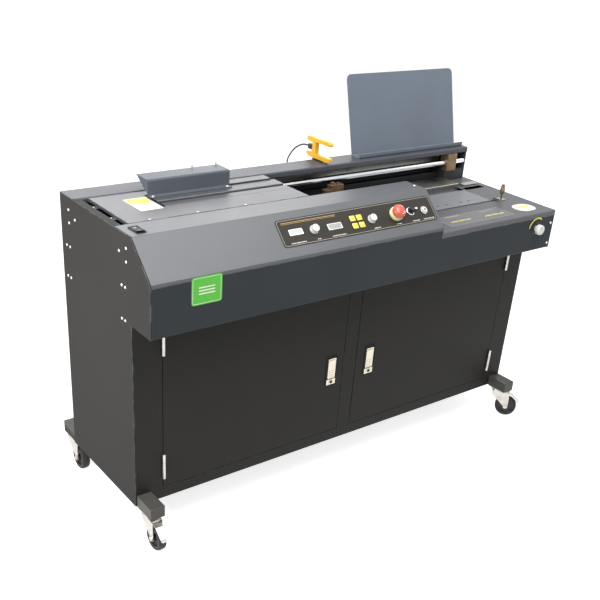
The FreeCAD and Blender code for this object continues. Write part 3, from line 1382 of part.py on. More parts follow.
build_all()
whole = Part.makeCompound(list(pieces.values())).optimalBoundingBox(False, False)
middle_x = (whole.XMin + whole.XMax) / 2
middle_y = (whole.YMin + whole.YMax) / 2
os.makedirs("parts", exist_ok=True)
for name, shape in pieces.items():
    shape.translate(Vector(-middle_x, -middle_y, 0))
    shape.exportStep("parts/%s.step" % name)
print("%d pieces, %.1f x %.1f x %.1f mm" % (len(pieces), whole.XLength, whole.YLength, whole.ZLength))
print("shifted by %.3f, %.3f, lowest point %.3f" % (middle_x, middle_y, whole.ZMin))
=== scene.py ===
"""Looks of a perfect binding machine on a two-door cabinet.

Lengths in the tables are millimetres from the left side plate's outer face, the skirt's front face and
the floor, as a maker would measure them; at() turns them into the frame's metres.
"""
import json
import math

import bmesh
import bpy
from mathutils import Matrix, Vector

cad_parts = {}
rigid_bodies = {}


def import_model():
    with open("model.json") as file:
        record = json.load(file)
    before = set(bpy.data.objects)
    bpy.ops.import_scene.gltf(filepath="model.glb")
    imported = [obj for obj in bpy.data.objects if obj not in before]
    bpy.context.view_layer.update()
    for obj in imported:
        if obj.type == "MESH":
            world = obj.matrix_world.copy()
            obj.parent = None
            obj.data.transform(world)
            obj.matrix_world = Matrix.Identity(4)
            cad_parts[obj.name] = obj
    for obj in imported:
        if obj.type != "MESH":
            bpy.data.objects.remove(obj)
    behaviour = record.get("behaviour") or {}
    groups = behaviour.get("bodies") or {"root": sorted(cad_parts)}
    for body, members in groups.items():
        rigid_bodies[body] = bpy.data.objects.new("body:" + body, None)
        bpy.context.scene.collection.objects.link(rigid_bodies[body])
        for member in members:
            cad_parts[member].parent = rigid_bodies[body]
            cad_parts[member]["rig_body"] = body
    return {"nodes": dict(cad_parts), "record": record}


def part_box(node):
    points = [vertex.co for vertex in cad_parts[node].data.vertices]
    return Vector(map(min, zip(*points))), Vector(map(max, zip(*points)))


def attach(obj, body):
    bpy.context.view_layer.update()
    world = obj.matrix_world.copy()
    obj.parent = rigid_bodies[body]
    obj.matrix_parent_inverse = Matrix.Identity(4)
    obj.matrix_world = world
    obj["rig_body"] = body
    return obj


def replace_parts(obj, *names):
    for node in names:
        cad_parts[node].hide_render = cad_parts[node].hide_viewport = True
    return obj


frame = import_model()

bpy.context.scene.view_settings.view_transform = "Standard"
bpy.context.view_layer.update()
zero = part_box("left_side_plate")[0]
MM = 0.001


def at(x, y, z):
    """A point measured on the machine, in the frame's metres."""
    return Vector((zero.x + x * MM, zero.y + y * MM, z * MM))


# The slope that carries the control panel: its upper edge and the way down it
SLOPE_HEAD = (92.0, 870.0)
SLOPE_FOOT = (0.0, 782.0)
SLOPE_LENGTH = math.hypot(SLOPE_HEAD[0] - SLOPE_FOOT[0], SLOPE_HEAD[1] - SLOPE_FOOT[1])
SLOPE_UP = Vector((0, (SLOPE_HEAD[0] - SLOPE_FOOT[0]) / SLOPE_LENGTH,
                   (SLOPE_HEAD[1] - SLOPE_FOOT[1]) / SLOPE_LENGTH))
SLOPE_OUT = Vector((1, 0, 0)).cross(SLOPE_UP)
PANEL_TOP = 1.0
SHELF_TOP = 766.0
TABLE_TOP = 870.0
COVER_PLATE_TOP = 757.0
BED_THICKNESS = 8.6
BED_MIDDLE = 1140.5
BED_LENGTH = 385
HINGE_LEAF_FRONT = 94.9
LATCH_FRAME_BACK = 93.5
SKIRT_KNOB_PLACE = (1370, 717)
ESTOP_PLACE = (793, 62)


def facing(origin, right, up):
    """The placing that lays a piece drawn flat in x and y on a face of the machine."""
    right = Vector(right)
    up = Vector(up)
    turn = Matrix((right, up, right.cross(up))).transposed()
    return Matrix.Translation(origin) @ turn.to_4x4()


def on_slope(x, s, w=0.0):
    origin = at(x, SLOPE_HEAD[0], SLOPE_HEAD[1]) - SLOPE_UP * s * MM + SLOPE_OUT * w * MM
    return facing(origin, (1, 0, 0), SLOPE_UP)


def on_front(x, z, y=0.0):
    return facing(at(x, y, z), (1, 0, 0), (0, 0, 1))


def on_top(x, y, z):
    return facing(at(x, y, z), (1, 0, 0), (0, 1, 0))


def on_left(y, z):
    return facing(at(0, y, z), (0, -1, 0), (0, 0, 1))


# Camera and daylight-coloured studio light

IMAGE = 600
CAMERA_PLACE = (-925.7, -1699.5, 1585.6)
CAMERA_YAW = 0.6864
CAMERA_PITCH = 0.5116
CAMERA_ROLL = 0.0801
CAMERA_FOCUS = 901.1
IMAGE_CENTRE = (300.0, 400.0)

# World light, the floor's own white, and each soft box by name, place, target, size and power
FILL = 0.36
FLOOR_WHITE = 0.78
SOFT_BOXES = (
    ("key_box", (-2.6, -2.2, 3.0), (0, 0, 0.5), (2.0, 1.6), 34.0),
    ("rear_box", (1.1, 3.4, 2.15), (0, 0.1, 0.85), (3.2, 1.5), 50.0),
    ("top_box", (0.2, -0.9, 3.0), (-0.2, -0.1, 0.85), (2.2, 1.4), 62.0),
    ("right_box", (3.6, -1.4, 2.4), (0, 0, 0.5), (1.6, 1.6), 14.0),
    ("left_box", (-2.0, -0.3, 1.3), (-0.74, 0, 0.8), (0.6, 0.6), 30.0),
)


def set_camera():
    """The photograph's viewpoint, as found from edges of known length."""
    data = bpy.data.cameras.new("camera")
    data.sensor_width = 36.0
    data.lens = CAMERA_FOCUS * data.sensor_width / IMAGE
    data.shift_x = (IMAGE / 2 - IMAGE_CENTRE[0]) / IMAGE
    data.shift_y = (IMAGE_CENTRE[1] - IMAGE / 2) / IMAGE
    data.clip_end = 60.0
    ahead = Vector((math.sin(CAMERA_YAW) * math.cos(CAMERA_PITCH),
                    math.cos(CAMERA_YAW) * math.cos(CAMERA_PITCH), -math.sin(CAMERA_PITCH)))
    level = Vector((math.cos(CAMERA_YAW), -math.sin(CAMERA_YAW), 0))
    above = level.cross(ahead)
    right = level * math.cos(CAMERA_ROLL) + above * math.sin(CAMERA_ROLL)
    up = above * math.cos(CAMERA_ROLL) - level * math.sin(CAMERA_ROLL)
    camera = bpy.data.objects.new("camera", data)
    turn = Matrix((right, up, -ahead)).transposed().to_4x4()
    camera.matrix_world = Matrix.Translation(at(*CAMERA_PLACE)) @ turn
    bpy.context.scene.collection.objects.link(camera)
    bpy.context.scene.camera = camera


def soft_box(name, place, target, size, power):
    data = bpy.data.lights.new(name, "AREA")
    data.shape = "RECTANGLE"
    data.size, data.size_y = size
    data.energy = power
    lamp = bpy.data.objects.new(name, data)
    lamp.location = place
    lamp.rotation_euler = (Vector(target) - Vector(place)).to_track_quat("-Z", "Y").to_euler()
    bpy.context.scene.collection.objects.link(lamp)


def plain_background(nodes, links, strength):
    """Light that only the eye, gloss and glass meet, so that the background is white by its own colour."""
    path = nodes.new("ShaderNodeLightPath")
    total = path.outputs["Is Camera Ray"]
    for ray in ("Is Glossy Ray", "Is Transmission Ray"):
        add = nodes.new("ShaderNodeMath")
        add.operation = "ADD"
        add.use_clamp = True
        links.new(total, add.inputs[0])
        links.new(path.outputs[ray], add.inputs[1])
        total = add.outputs["Value"]
    scaled = nodes.new("ShaderNodeMath")
    scaled.operation = "MULTIPLY"
    scaled.inputs[1].default_value = strength
    links.new(total, scaled.inputs[0])
    return scaled.outputs["Value"]


def light_studio():
    world = bpy.data.worlds.new("studio")
    bpy.context.scene.world = world
    world.use_nodes = True
    nodes, links = world.node_tree.nodes, world.node_tree.links
    nodes.clear()
    output = nodes.new("ShaderNodeOutputWorld")
    fill = nodes.new("ShaderNodeBackground")
    fill.inputs["Strength"].default_value = FILL
    seen = nodes.new("ShaderNodeBackground")
    seen.inputs["Strength"].default_value = 1.0
    mix = nodes.new("ShaderNodeMixShader")
    links.new(plain_background(nodes, links, 1.0), mix.inputs["Fac"])
    links.new(fill.outputs[0], mix.inputs[1])
    links.new(seen.outputs[0], mix.inputs[2])
    links.new(mix.outputs[0], output.inputs["Surface"])
    for background in (fill, seen):
        background.inputs["Color"].default_value = (1.0, 1.0, 1.0, 1.0)
    for box in SOFT_BOXES:
        soft_box(*box)


def lay_floor():
    shape = bmesh.new()
    bmesh.ops.create_grid(shape, x_segments=1, y_segments=1, size=40.0)
    mesh = bpy.data.meshes.new("floor")
    shape.to_mesh(mesh)
    shape.free()
    floor = bpy.data.objects.new("floor", mesh)
    material = bpy.data.materials.new("floor_paper")
    material.use_nodes = True
    nodes, links = material.node_tree.nodes, material.node_tree.links
    nodes.clear()
    output = nodes.new("ShaderNodeOutputMaterial")
    paper = nodes.new("ShaderNodeBsdfDiffuse")
    paper.inputs["Color"].default_value = (0.65, 0.65, 0.65, 1)
    glow = nodes.new("ShaderNodeEmission")
    links.new(plain_background(nodes, links, FLOOR_WHITE), glow.inputs["Strength"])
    both = nodes.new("ShaderNodeAddShader")
    links.new(paper.outputs[0], both.inputs[0])
    links.new(glow.outputs[0], both.inputs[1])
    links.new(both.outputs[0], output.inputs["Surface"])
    mesh.materials.append(material)
    bpy.context.scene.collection.objects.link(floor)


# Finishes

def linear(rgb):
    """A colour written as 0 to 255, as the shader's linear values."""
    out = []
    for value in rgb:
        v = value / 255
        out.append(v / 12.92 if v <= 0.04045 else ((v + 0.055) / 1.055) ** 2.4)
    return (*out, 1.0)


def finish(name, colour, roughness, metallic=0.0, tone=0.12, patch=5.0, grain=900.0, bump=0.04,
           wear=None, brushed=None, coat=0.0, specular=0.5, sheen=0.0, spread=0.06):
    """A finish with slow changes of tone, a grain that roughens and lifts it, and wear along edges.

    tone is how far the colour strays, patch and grain are how many patches and grains go to a metre,
    brushed stretches the grain along one axis and wear is the colour that shows where edges rub bare.
    """
    material = bpy.data.materials.new(name)
    material.use_nodes = True
    nodes, links = material.node_tree.nodes, material.node_tree.links
    nodes.clear()
    output = nodes.new("ShaderNodeOutputMaterial")
    shader = nodes.new("ShaderNodeBsdfPrincipled")
    links.new(shader.outputs["BSDF"], output.inputs["Surface"])
    shader.inputs["Metallic"].default_value = metallic
    shader.inputs["Specular IOR Level"].default_value = specular
    shader.inputs["Coat Weight"].default_value = coat
    shader.inputs["Coat Roughness"].default_value = 0.12
    shader.inputs["Sheen Weight"].default_value = sheen
    place = nodes.new("ShaderNodeTexCoord")

    slow = nodes.new("ShaderNodeTexNoise")
    slow.inputs["Scale"].default_value = patch
    slow.inputs["Detail"].default_value = 5.0
    links.new(place.outputs["Object"], slow.inputs["Vector"])
    grained = nodes.new("ShaderNodeTexNoise")
    grained.inputs["Scale"].default_value = grain
    grained.inputs["Detail"].default_value = 2.0
    if brushed:
        stretch = nodes.new("ShaderNodeMapping")
        stretch.inputs["Scale"].default_value = brushed
        links.new(place.outputs["Object"], stretch.inputs["Vector"])
        links.new(stretch.outputs["Vector"], grained.inputs["Vector"])
    else:
        links.new(place.outputs["Object"], grained.inputs["Vector"])

    base = linear(colour)
    dark = tuple(c * (1 - tone) for c in base[:3]) + (1.0,)
    light = tuple(min(1.0, c * (1 + tone)) for c in base[:3]) + (1.0,)
    tones = nodes.new("ShaderNodeValToRGB")
    tones.color_ramp.elements[0].position = 0.3
    tones.color_ramp.elements[0].color = dark
    tones.color_ramp.elements[1].position = 0.7
    tones.color_ramp.elements[1].color = light
    links.new(slow.outputs["Fac"], tones.inputs["Fac"])
    colour_out = tones.outputs["Color"]
    if wear:
        edge = nodes.new("ShaderNodeAttribute")
        edge.attribute_name = "edge"
        scuffs = nodes.new("ShaderNodeTexNoise")
        scuffs.inputs["Scale"].default_value = 38.0
        scuffs.inputs["Detail"].default_value = 6.0
        links.new(place.outputs["Object"], scuffs.inputs["Vector"])
        where = nodes.new("ShaderNodeMapRange")
        where.inputs["From Min"].default_value = 0.42
        where.inputs["From Max"].default_value = 0.62
        where.inputs["To Min"].default_value = 0.12
        where.inputs["To Max"].default_value = 0.8
        links.new(scuffs.outputs["Fac"], where.inputs["Value"])
        both = nodes.new("ShaderNodeMath")
        both.operation = "MULTIPLY"
        links.new(edge.outputs["Fac"], both.inputs[0])
        links.new(where.outputs["Result"], both.inputs[1])
        bare = nodes.new("ShaderNodeMix")
        bare.data_type = "RGBA"
        links.new(both.outputs["Value"], bare.inputs["Factor"])
        links.new(colour_out, bare.inputs["A"])
        bare.inputs["B"].default_value = linear(wear)
        colour_out = bare.outputs["Result"]
    links.new(colour_out, shader.inputs["Base Color"])

    gloss = nodes.new("ShaderNodeMapRange")
    gloss.inputs["From Min"].default_value = 0.25
    gloss.inputs["From Max"].default_value = 0.75
    gloss.inputs["To Min"].default_value = max(0.02, roughness - spread)
    gloss.inputs["To Max"].default_value = min(1.0, roughness + spread)
    sum_of = nodes.new("ShaderNodeMath")
    sum_of.operation = "MULTIPLY_ADD"
    sum_of.inputs[1].default_value = 0.4
    links.new(grained.outputs["Fac"], sum_of.inputs[0])
    share = nodes.new("ShaderNodeMath")
    share.operation = "MULTIPLY"
    share.inputs[1].default_value = 0.6
    links.new(slow.outputs["Fac"], share.inputs[0])
    links.new(share.outputs["Value"], sum_of.inputs[2])
    links.new(sum_of.outputs["Value"], gloss.inputs["Value"])
    links.new(gloss.outputs["Result"], shader.inputs["Roughness"])

    lift = nodes.new("ShaderNodeBump")
    lift.inputs["Strength"].default_value = bump
    lift.inputs["Distance"].default_value = 0.001
    links.new(grained.outputs["Fac"], lift.inputs["Height"])
    links.new(lift.outputs["Normal"], shader.inputs["Normal"])
    return material


shell_coat = finish("charcoal_coat", (82, 84, 88), 0.42, specular=0.5, tone=0.07, grain=1100.0, bump=0.10,
                    wear=(150, 152, 156))
# painted shade: the side plates' colour is a darker copy of the charcoal body paint, so that these upright faces
# read as shaded
side_shaded_coat = finish("side_shaded_coat", (54, 53, 52), 0.5, specular=0.03, tone=0.08, grain=1100.0, bump=0.10,
                   wear=(140, 142, 146))
table_coat = finish("table_coat", (79, 80, 84), 0.42, specular=0.5, tone=0.06, grain=1300.0, bump=0.08,
                    wear=(170, 172, 176))
# painted highlight: the bed's colour is a lighter copy of the table paint, standing in for the highlights on its
# top
bed_highlight_coat = finish("bed_highlight_coat", (118, 120, 125), 0.40, specular=0.5, tone=0.06, grain=1300.0, bump=0.08,
                  wear=(180, 182, 186))
# painted shade: the skirt's colour is a darker copy of the charcoal body paint, so that this front face reads as
# shaded
skirt_shaded_coat = finish("skirt_shaded_coat", (50, 55, 58), 0.5, specular=0.12, tone=0.08, grain=1100.0, bump=0.10,
                    wear=(130, 133, 138))
cabinet_coat = finish("black_coat", (40, 39, 37), 0.5, specular=0.12, tone=0.10, grain=1000.0, bump=0.12,
                      wear=(96, 95, 92))
# painted light: the skids' colour is a lighter copy of the cabinet's black paint, standing in for the light on
# them
skid_lit_coat = finish("skid_lit_coat", (70, 69, 65), 0.46, specular=0.3, tone=0.10, grain=1000.0, bump=0.12,
                   wear=(120, 118, 114))
rack_coat = finish("rack_coat", (101, 110, 121), 0.42, specular=0.25, tone=0.06, grain=1200.0, bump=0.08,
                   wear=(175, 180, 186))
inner_coat = finish("inner_black", (30, 31, 33), 0.55, tone=0.15, grain=700.0, bump=0.10)
zinc = finish("zinc_plate", (196, 192, 186), 0.34, metallic=1.0, tone=0.14, patch=55.0, grain=500.0,
              bump=0.05,
              wear=(230, 226, 220))
nickel = finish("brushed_nickel", (205, 198, 184), 0.26, metallic=1.0, tone=0.06, patch=20.0, grain=900.0,
                bump=0.05, brushed=(1.0, 1.0, 0.08))
steel = finish("ground_steel", (176, 176, 172), 0.30, metallic=1.0, tone=0.10, patch=14.0, grain=1200.0,
               bump=0.04, brushed=(0.06, 1.0, 1.0), wear=(225, 225, 222))
chrome = finish("hard_chrome", (222, 224, 228), 0.12, metallic=1.0, tone=0.04, patch=9.0, grain=1600.0,
                bump=0.01, brushed=(1.0, 0.05, 0.05), spread=0.03)
bronze = finish("aged_bronze", (134, 112, 88), 0.42, metallic=0.85, tone=0.30, patch=60.0, grain=700.0,
                bump=0.2, wear=(200, 170, 120))
tyre_rubber = finish("tyre_rubber", (44, 42, 41), 0.62, tone=0.15, patch=40.0, grain=900.0, bump=0.25,
                     specular=0.35)
belt_rubber = finish("belt_rubber", (26, 26, 27), 0.66, tone=0.12, grain=900.0, bump=0.2, specular=0.3)
black_plastic = finish("black_plastic", (30, 30, 31), 0.40, tone=0.10, grain=1500.0, bump=0.08,
                       wear=(70, 70, 72))
red_plastic = finish("red_plastic", (202, 80, 64), 0.30, tone=0.06, grain=800.0, bump=0.03, coat=0.3)
yellow_plastic = finish("yellow_plastic", (236, 182, 44), 0.38, tone=0.07, grain=900.0, bump=0.08,
                        wear=(250, 214, 130))
key_plastic = finish("key_plastic", (226, 214, 92), 0.36, tone=0.05, grain=1200.0, bump=0.05)
cream_plastic = finish("cream_plastic", (232, 220, 176), 0.36, tone=0.04, grain=1200.0, bump=0.04)
white_plastic = finish("white_plastic", (226, 226, 222), 0.34, tone=0.04, grain=1200.0, bump=0.04)
silver_plastic = finish("silver_plastic", (214, 214, 210), 0.30, metallic=0.35, tone=0.05, grain=1000.0,
                        bump=0.04)
overlay_film = finish("overlay_film", (54, 51, 46), 0.5, specular=0.12, tone=0.05, grain=1800.0, bump=0.06)
display_glass = finish("display_glass", (152, 156, 152), 0.22, tone=0.04, grain=600.0, bump=0.0, coat=0.6)
print_white = finish("print_white", (214, 210, 200), 0.5, tone=0.04, grain=1500.0, bump=0.02)
print_line = finish("print_line", (150, 146, 138), 0.5, tone=0.04, grain=1500.0, bump=0.02)
print_yellow = finish("print_yellow", (226, 214, 84), 0.5, tone=0.05, grain=1500.0, bump=0.02)
label_green = finish("label_green", (84, 184, 58), 0.36, tone=0.05, patch=8.0, grain=1500.0, bump=0.03)
label_cream = finish("label_cream", (236, 234, 214), 0.45, tone=0.04, grain=1500.0, bump=0.03)
label_grey = finish("label_grey", (100, 100, 106), 0.42, tone=0.05, grain=1500.0, bump=0.03)
print_gold = finish("print_gold", (196, 160, 92), 0.42, metallic=0.3, tone=0.05, grain=1500.0, bump=0.02)
print_grey = finish("print_grey", (120, 120, 124), 0.5, tone=0.04, grain=1500.0, bump=0.02)
key_print = finish("key_print", (150, 138, 50), 0.5, tone=0.04, grain=1500.0, bump=0.02)
rocker_black = finish("rocker_black", (22, 22, 23), 0.5, specular=0.2, tone=0.08, grain=900.0, bump=0.03)
bright_zinc = finish("bright_zinc", (226, 226, 224), 0.30, metallic=0.85, tone=0.05, patch=60.0, grain=600.0,
                     bump=0.04)
pedal_plate = finish("pedal_plate", (222, 218, 212), 0.32, metallic=0.9, tone=0.08, patch=60.0, grain=500.0,
                     bump=0.06, wear=(240, 236, 230))
bracket_coat = finish("bracket_coat", (82, 88, 95), 0.46, specular=0.25, tone=0.06, grain=1100.0, bump=0.10,
                      wear=(150, 154, 160))
cover_coat = finish("cover_coat", (72, 75, 81), 0.46, specular=0.3, tone=0.06, grain=1100.0, bump=0.10,
                    wear=(160, 163, 168))
glue_crust = finish("glue_tank", (64, 60, 54), 0.45, metallic=0.4, tone=0.3, patch=30.0, grain=600.0,
                    bump=0.3)
carbide = finish("carbide", (150, 150, 152), 0.3, metallic=1.0, tone=0.08, grain=900.0, bump=0.05)


# Making and placing pieces

def show(name, shape, finishes, body="frame"):
    """Turns a shape into a piece of the machine that moves with a body."""
    mesh = bpy.data.meshes.new(name)
    shape.to_mesh(mesh)
    shape.free()
    piece = bpy.data.objects.new(name, mesh)
    bpy.context.scene.collection.objects.link(piece)
    for one in finishes if isinstance(finishes, (list, tuple)) else [finishes]:
        mesh.materials.append(one)
    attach(piece, body)
    return piece


def smoothed(piece, degrees=40.0):
    """Soft shading over curved faces, crisp where two faces meet at more than this angle."""
    piece.data.shade_smooth()
    piece.data.set_sharp_from_angle(angle=math.radians(degrees))
    return piece


def body_of(node):
    return frame["nodes"][node]["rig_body"]


def dressed(node, finishes, choose=None, edge=0.5, degrees=32.0):
    """A copy of a node with its edges eased and its parts each in their own finish.

    choose gives the number of the finish for a face, from the face's middle in machine millimetres and
    the lowest and highest corner of the loose part that the face is on.
    """
    shape = bmesh.new()
    shape.from_mesh(frame["nodes"][node].data)
    bmesh.ops.remove_doubles(shape, verts=shape.verts, dist=0.00001)
    bmesh.ops.dissolve_limit(shape, angle_limit=math.radians(0.4), verts=shape.verts, edges=shape.edges)
    if choose:
        for low, high, faces in loose_parts(shape):
            for face in faces:
                face.material_index = choose(to_machine(face.calc_center_median()), low, high)
    rubbed = shape.faces.layers.float.new("edge")
    if edge:
        crisp = [e for e in shape.edges
                 if len(e.link_faces) == 2 and e.calc_face_angle(0.0) > math.radians(degrees)]
        made = bmesh.ops.bevel(shape, geom=crisp, offset=edge * MM, offset_type="OFFSET", segments=2,
                               profile=0.5, affect="EDGES", clamp_overlap=True, material=-1)
        for face in made["faces"]:
            face[rubbed] = 1.0
    piece = show(node + "_finished", shape, finishes, body_of(node))
    piece.data.shade_smooth()
    piece.data.set_sharp_from_angle(angle=math.radians(50))
    even = piece.modifiers.new("even_normals", "WEIGHTED_NORMAL")
    even.keep_sharp = True
    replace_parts(piece, node)
    return piece


def to_machine(point):
    return Vector(((point.x - zero.x) / MM, (point.y - zero.y) / MM, point.z / MM))


def loose_parts(shape):
    """Each loose part of a shape, as its lowest and highest corner in machine millimetres and its faces."""
    waiting = set(shape.faces)
    while waiting:
        part = [waiting.pop()]
        for face in part:
            for e in face.edges:
                for other in e.link_faces:
                    if other in waiting:
                        waiting.remove(other)
                        part.append(other)
        corners = [to_machine(v.co) for face in part for v in face.verts]
        low = Vector([min(c[i] for c in corners) for i in range(3)])
        high = Vector([max(c[i] for c in corners) for i in range(3)])
        yield low, high, part


def plate(width, height, thickness, corner=0.0):
    """A flat plate centred on its back face, drawn in x and y, with rounded corners, in millimetres."""
    shape = bmesh.new()
    bmesh.ops.create_grid(shape, x_segments=1, y_segments=1, size=0.5)
    bmesh.ops.scale(shape, vec=(width * MM, height * MM, 1), verts=shape.verts)
    if corner:
        bmesh.ops.bevel(shape, geom=shape.verts[:], offset=corner * MM, offset_type="OFFSET", segments=5,
                        profile=0.5, affect="VERTICES", clamp_overlap=True, material=-1)
    thicken(shape, thickness)
    return shape


def thicken(shape, thickness):
    """Gives a flat shape its thickness, upwards from where it lies, and returns the raised corners."""
    grown = bmesh.ops.extrude_face_region(shape, geom=shape.faces[:])
    raised = [v for v in grown["geom"] if isinstance(v, bmesh.types.BMVert)]
    bmesh.ops.translate(shape, vec=(0, 0, thickness * MM), verts=raised)
    bmesh.ops.recalc_face_normals(shape, faces=shape.faces)
    return raised


def outline(width, height, thickness, line, corner=0.0):
    """A plate with all but a line round its rim taken out."""
    shape = bmesh.new()
    bmesh.ops.create_grid(shape, x_segments=1, y_segments=1, size=0.5)
    bmesh.ops.scale(shape, vec=(width * MM, height * MM, 1), verts=shape.verts)
    if corner:
        bmesh.ops.bevel(shape, geom=shape.verts[:], offset=corner * MM, offset_type="OFFSET", segments=5,
                        profile=0.5, affect="VERTICES", clamp_overlap=True, material=-1)
    middle = shape.faces[:]
    bmesh.ops.inset_region(shape, faces=middle, use_boundary=True, thickness=line * MM, use_even_offset=True)
    bmesh.ops.delete(shape, geom=middle, context="FACES")
    thicken(shape, thickness)
    return shape


def turned(profile, steps=48, ring=False):
    """A piece turned about z from (radius, height) points in millimetres.

    A ring's profile closes on itself.
    """
    shape = bmesh.new()
    line = [shape.verts.new((radius * MM, 0, height * MM)) for radius, height in profile]
    pairs = list(zip(line, line[1:] + line[:1])) if ring else list(zip(line, line[1:]))
    edges = [shape.edges.new(pair) for pair in pairs]
    bmesh.ops.spin(shape, geom=line + edges, cent=(0, 0, 0), axis=(0, 0, 1), dvec=(0, 0, 0),
                   angle=math.tau, steps=steps, use_merge=True)
    bmesh.ops.remove_doubles(shape, verts=shape.verts, dist=0.00001)
    bmesh.ops.recalc_face_normals(shape, faces=shape.faces)
    return shape


def fluted(radius, depth, height, flutes, narrowing=1.0):
    """A grip with flutes round its side, narrower at its top."""
    shape = bmesh.new()
    bmesh.ops.create_circle(shape, cap_ends=True, radius=radius * MM, segments=4 * flutes)
    ring = sorted(shape.verts, key=lambda v: math.atan2(v.co.y, v.co.x))
    hollows = [v for i, v in enumerate(ring) if i % 4 < 2]
    bmesh.ops.scale(shape, vec=(1 - depth / radius, 1 - depth / radius, 1), verts=hollows)
    bmesh.ops.scale(shape, vec=(narrowing, narrowing, 1), verts=thicken(shape, height))
    return shape


def arc(inner, outer, start, sweep, thickness):
    """A flat curved bar about z, its angles in degrees."""
    shape = bmesh.new()
    turn = math.radians(start)
    ends = [shape.verts.new((r * MM * math.cos(turn), r * MM * math.sin(turn), 0)) for r in (inner, outer)]
    bmesh.ops.spin(shape, geom=ends + [shape.edges.new(ends)], cent=(0, 0, 0), axis=(0, 0, 1), dvec=(0, 0, 0),
                   angle=math.radians(sweep), steps=28)
    thicken(shape, thickness)
    return shape


def pointer(radius, thickness, sides=3):
    """A small arrowhead, or a nut's outline with six sides."""
    shape = bmesh.new()
    bmesh.ops.create_circle(shape, cap_ends=True, radius=radius * MM, segments=sides)
    thicken(shape, thickness)
    return shape


def eased(shape, width=0.4, segments=2):
    """Rounds every crisp edge of a shape."""
    crisp = [e for e in shape.edges if len(e.link_faces) == 2 and e.calc_face_angle(0.0) > math.radians(30)]
    bmesh.ops.bevel(shape, geom=crisp, offset=width * MM, offset_type="OFFSET", segments=segments,
                    profile=0.5,
                    affect="EDGES", clamp_overlap=True, material=-1)
    return shape


def shifted(shape, x, y, z=0.0):
    bmesh.ops.translate(shape, vec=(x * MM, y * MM, z * MM), verts=shape.verts)
    return shape


def screw_head(radius, height):
    """A pan head with a socket in its middle."""
    return turned([
        (0, height * 0.35), (radius * 0.36, height * 0.4), (radius * 0.42, height), (radius * 0.6, height),
        (radius * 0.9, height * 0.66), (radius, height * 0.25), (radius, 0), (0, 0),
    ], 24)


def screws_over(node, wanted, radius, height):
    """Screw heads, each over a small round part of a node that the test wanted picks out."""
    shape = bmesh.new()
    shape.from_mesh(frame["nodes"][node].data)
    bmesh.ops.remove_doubles(shape, verts=shape.verts, dist=0.00001)
    heads = []
    for low, high, faces in loose_parts(shape):
        if not wanted(low, high):
            continue
        size = high - low
        middle = (low + high) / 2
        thin = min(range(3), key=lambda i: size[i])
        if thin == 0:
            side = -1 if middle.x < 700 else 1
            placing = facing(at(low.x if side > 0 else high.x, middle.y, middle.z), (0, side, 0), (0, 0, 1))
        elif thin == 1:
            placing = facing(at(middle.x, high.y, middle.z), (1, 0, 0), (0, 0, 1))
        else:
            placing = facing(at(middle.x, middle.y, low.z), (1, 0, 0), (0, 1, 0))
        heads.append(placed(screw_head(radius, height), placing))
    shape.free()
    return joined(heads)


def joined(shapes):
    """Several shapes as one."""
    whole = bmesh.new()
    for shape in shapes:
        mesh = bpy.data.meshes.new("part")
        shape.to_mesh(mesh)
        shape.free()
        whole.from_mesh(mesh)
        bpy.data.meshes.remove(mesh)
    return whole


def placed(shape, placing):
    bmesh.ops.transform(shape, matrix=placing, verts=shape.verts)
    return shape


def tinted(shape, number):
    """Gives every face of a shape the finish with this number."""
    for face in shape.faces:
        face.material_index = number
    return shape


# Cable from the fork sensor's plug round to the rear cover

CABLE_DIAMETER = 5.0
CABLE_POINTS = (
    (838.0, 512.0, 905.0),
    (838.0, 531.0, 905.0),
    (828.6, 547.2, 897.9),
    (811.9, 554.0, 885.4),
    (778.4, 540.4, 860.3),
    (757.2, 504.0, 844.4),
    (757.2, 480.0, 844.4),
)


def sensor_cable():
    curve = bpy.data.curves.new("sensor_cable_jacket", "CURVE")
    curve.dimensions = "3D"
    curve.bevel_depth = CABLE_DIAMETER / 2 * MM
    curve.bevel_resolution = 5
    curve.resolution_u = 12
    curve.use_fill_caps = True
    line = curve.splines.new("NURBS")
    line.points.add(len(CABLE_POINTS) - 1)
    for point, place in zip(line.points, CABLE_POINTS):
        point.co = (*at(*place), 1.0)
    line.order_u = 3
    line.use_endpoint_u = True
    curve.materials.append(black_plastic)
    cable = bpy.data.objects.new("sensor_cable_jacket", curve)
    bpy.context.scene.collection.objects.link(cable)
    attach(cable, "frame")
    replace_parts(cable, "sensor_cable")
    at(*CABLE_POINTS[0])


# Covers, cabinet and mechanism in their finishes

def finish_nodes():
    """Finishes of the nodes that stay as they are."""
    finishes = {
        inner_coat: ("console_deck", "cabinet_floor", "cutter_motor"),
        chrome: ("guide_rod",),
        belt_rubber: ("drive_belt",),
        steel: ("drive_pulley", "idler_pulley", "nip_bar"),
        zinc: ("caster_plates",),
    }
    for coat, nodes in finishes.items():
        for node in nodes:
            paint(node, coat)


def paint(node, coat):
    piece = frame["nodes"][node]
    if not piece.material_slots:
        piece.data.materials.append(coat)
    for slot in piece.material_slots:
        slot.material = coat


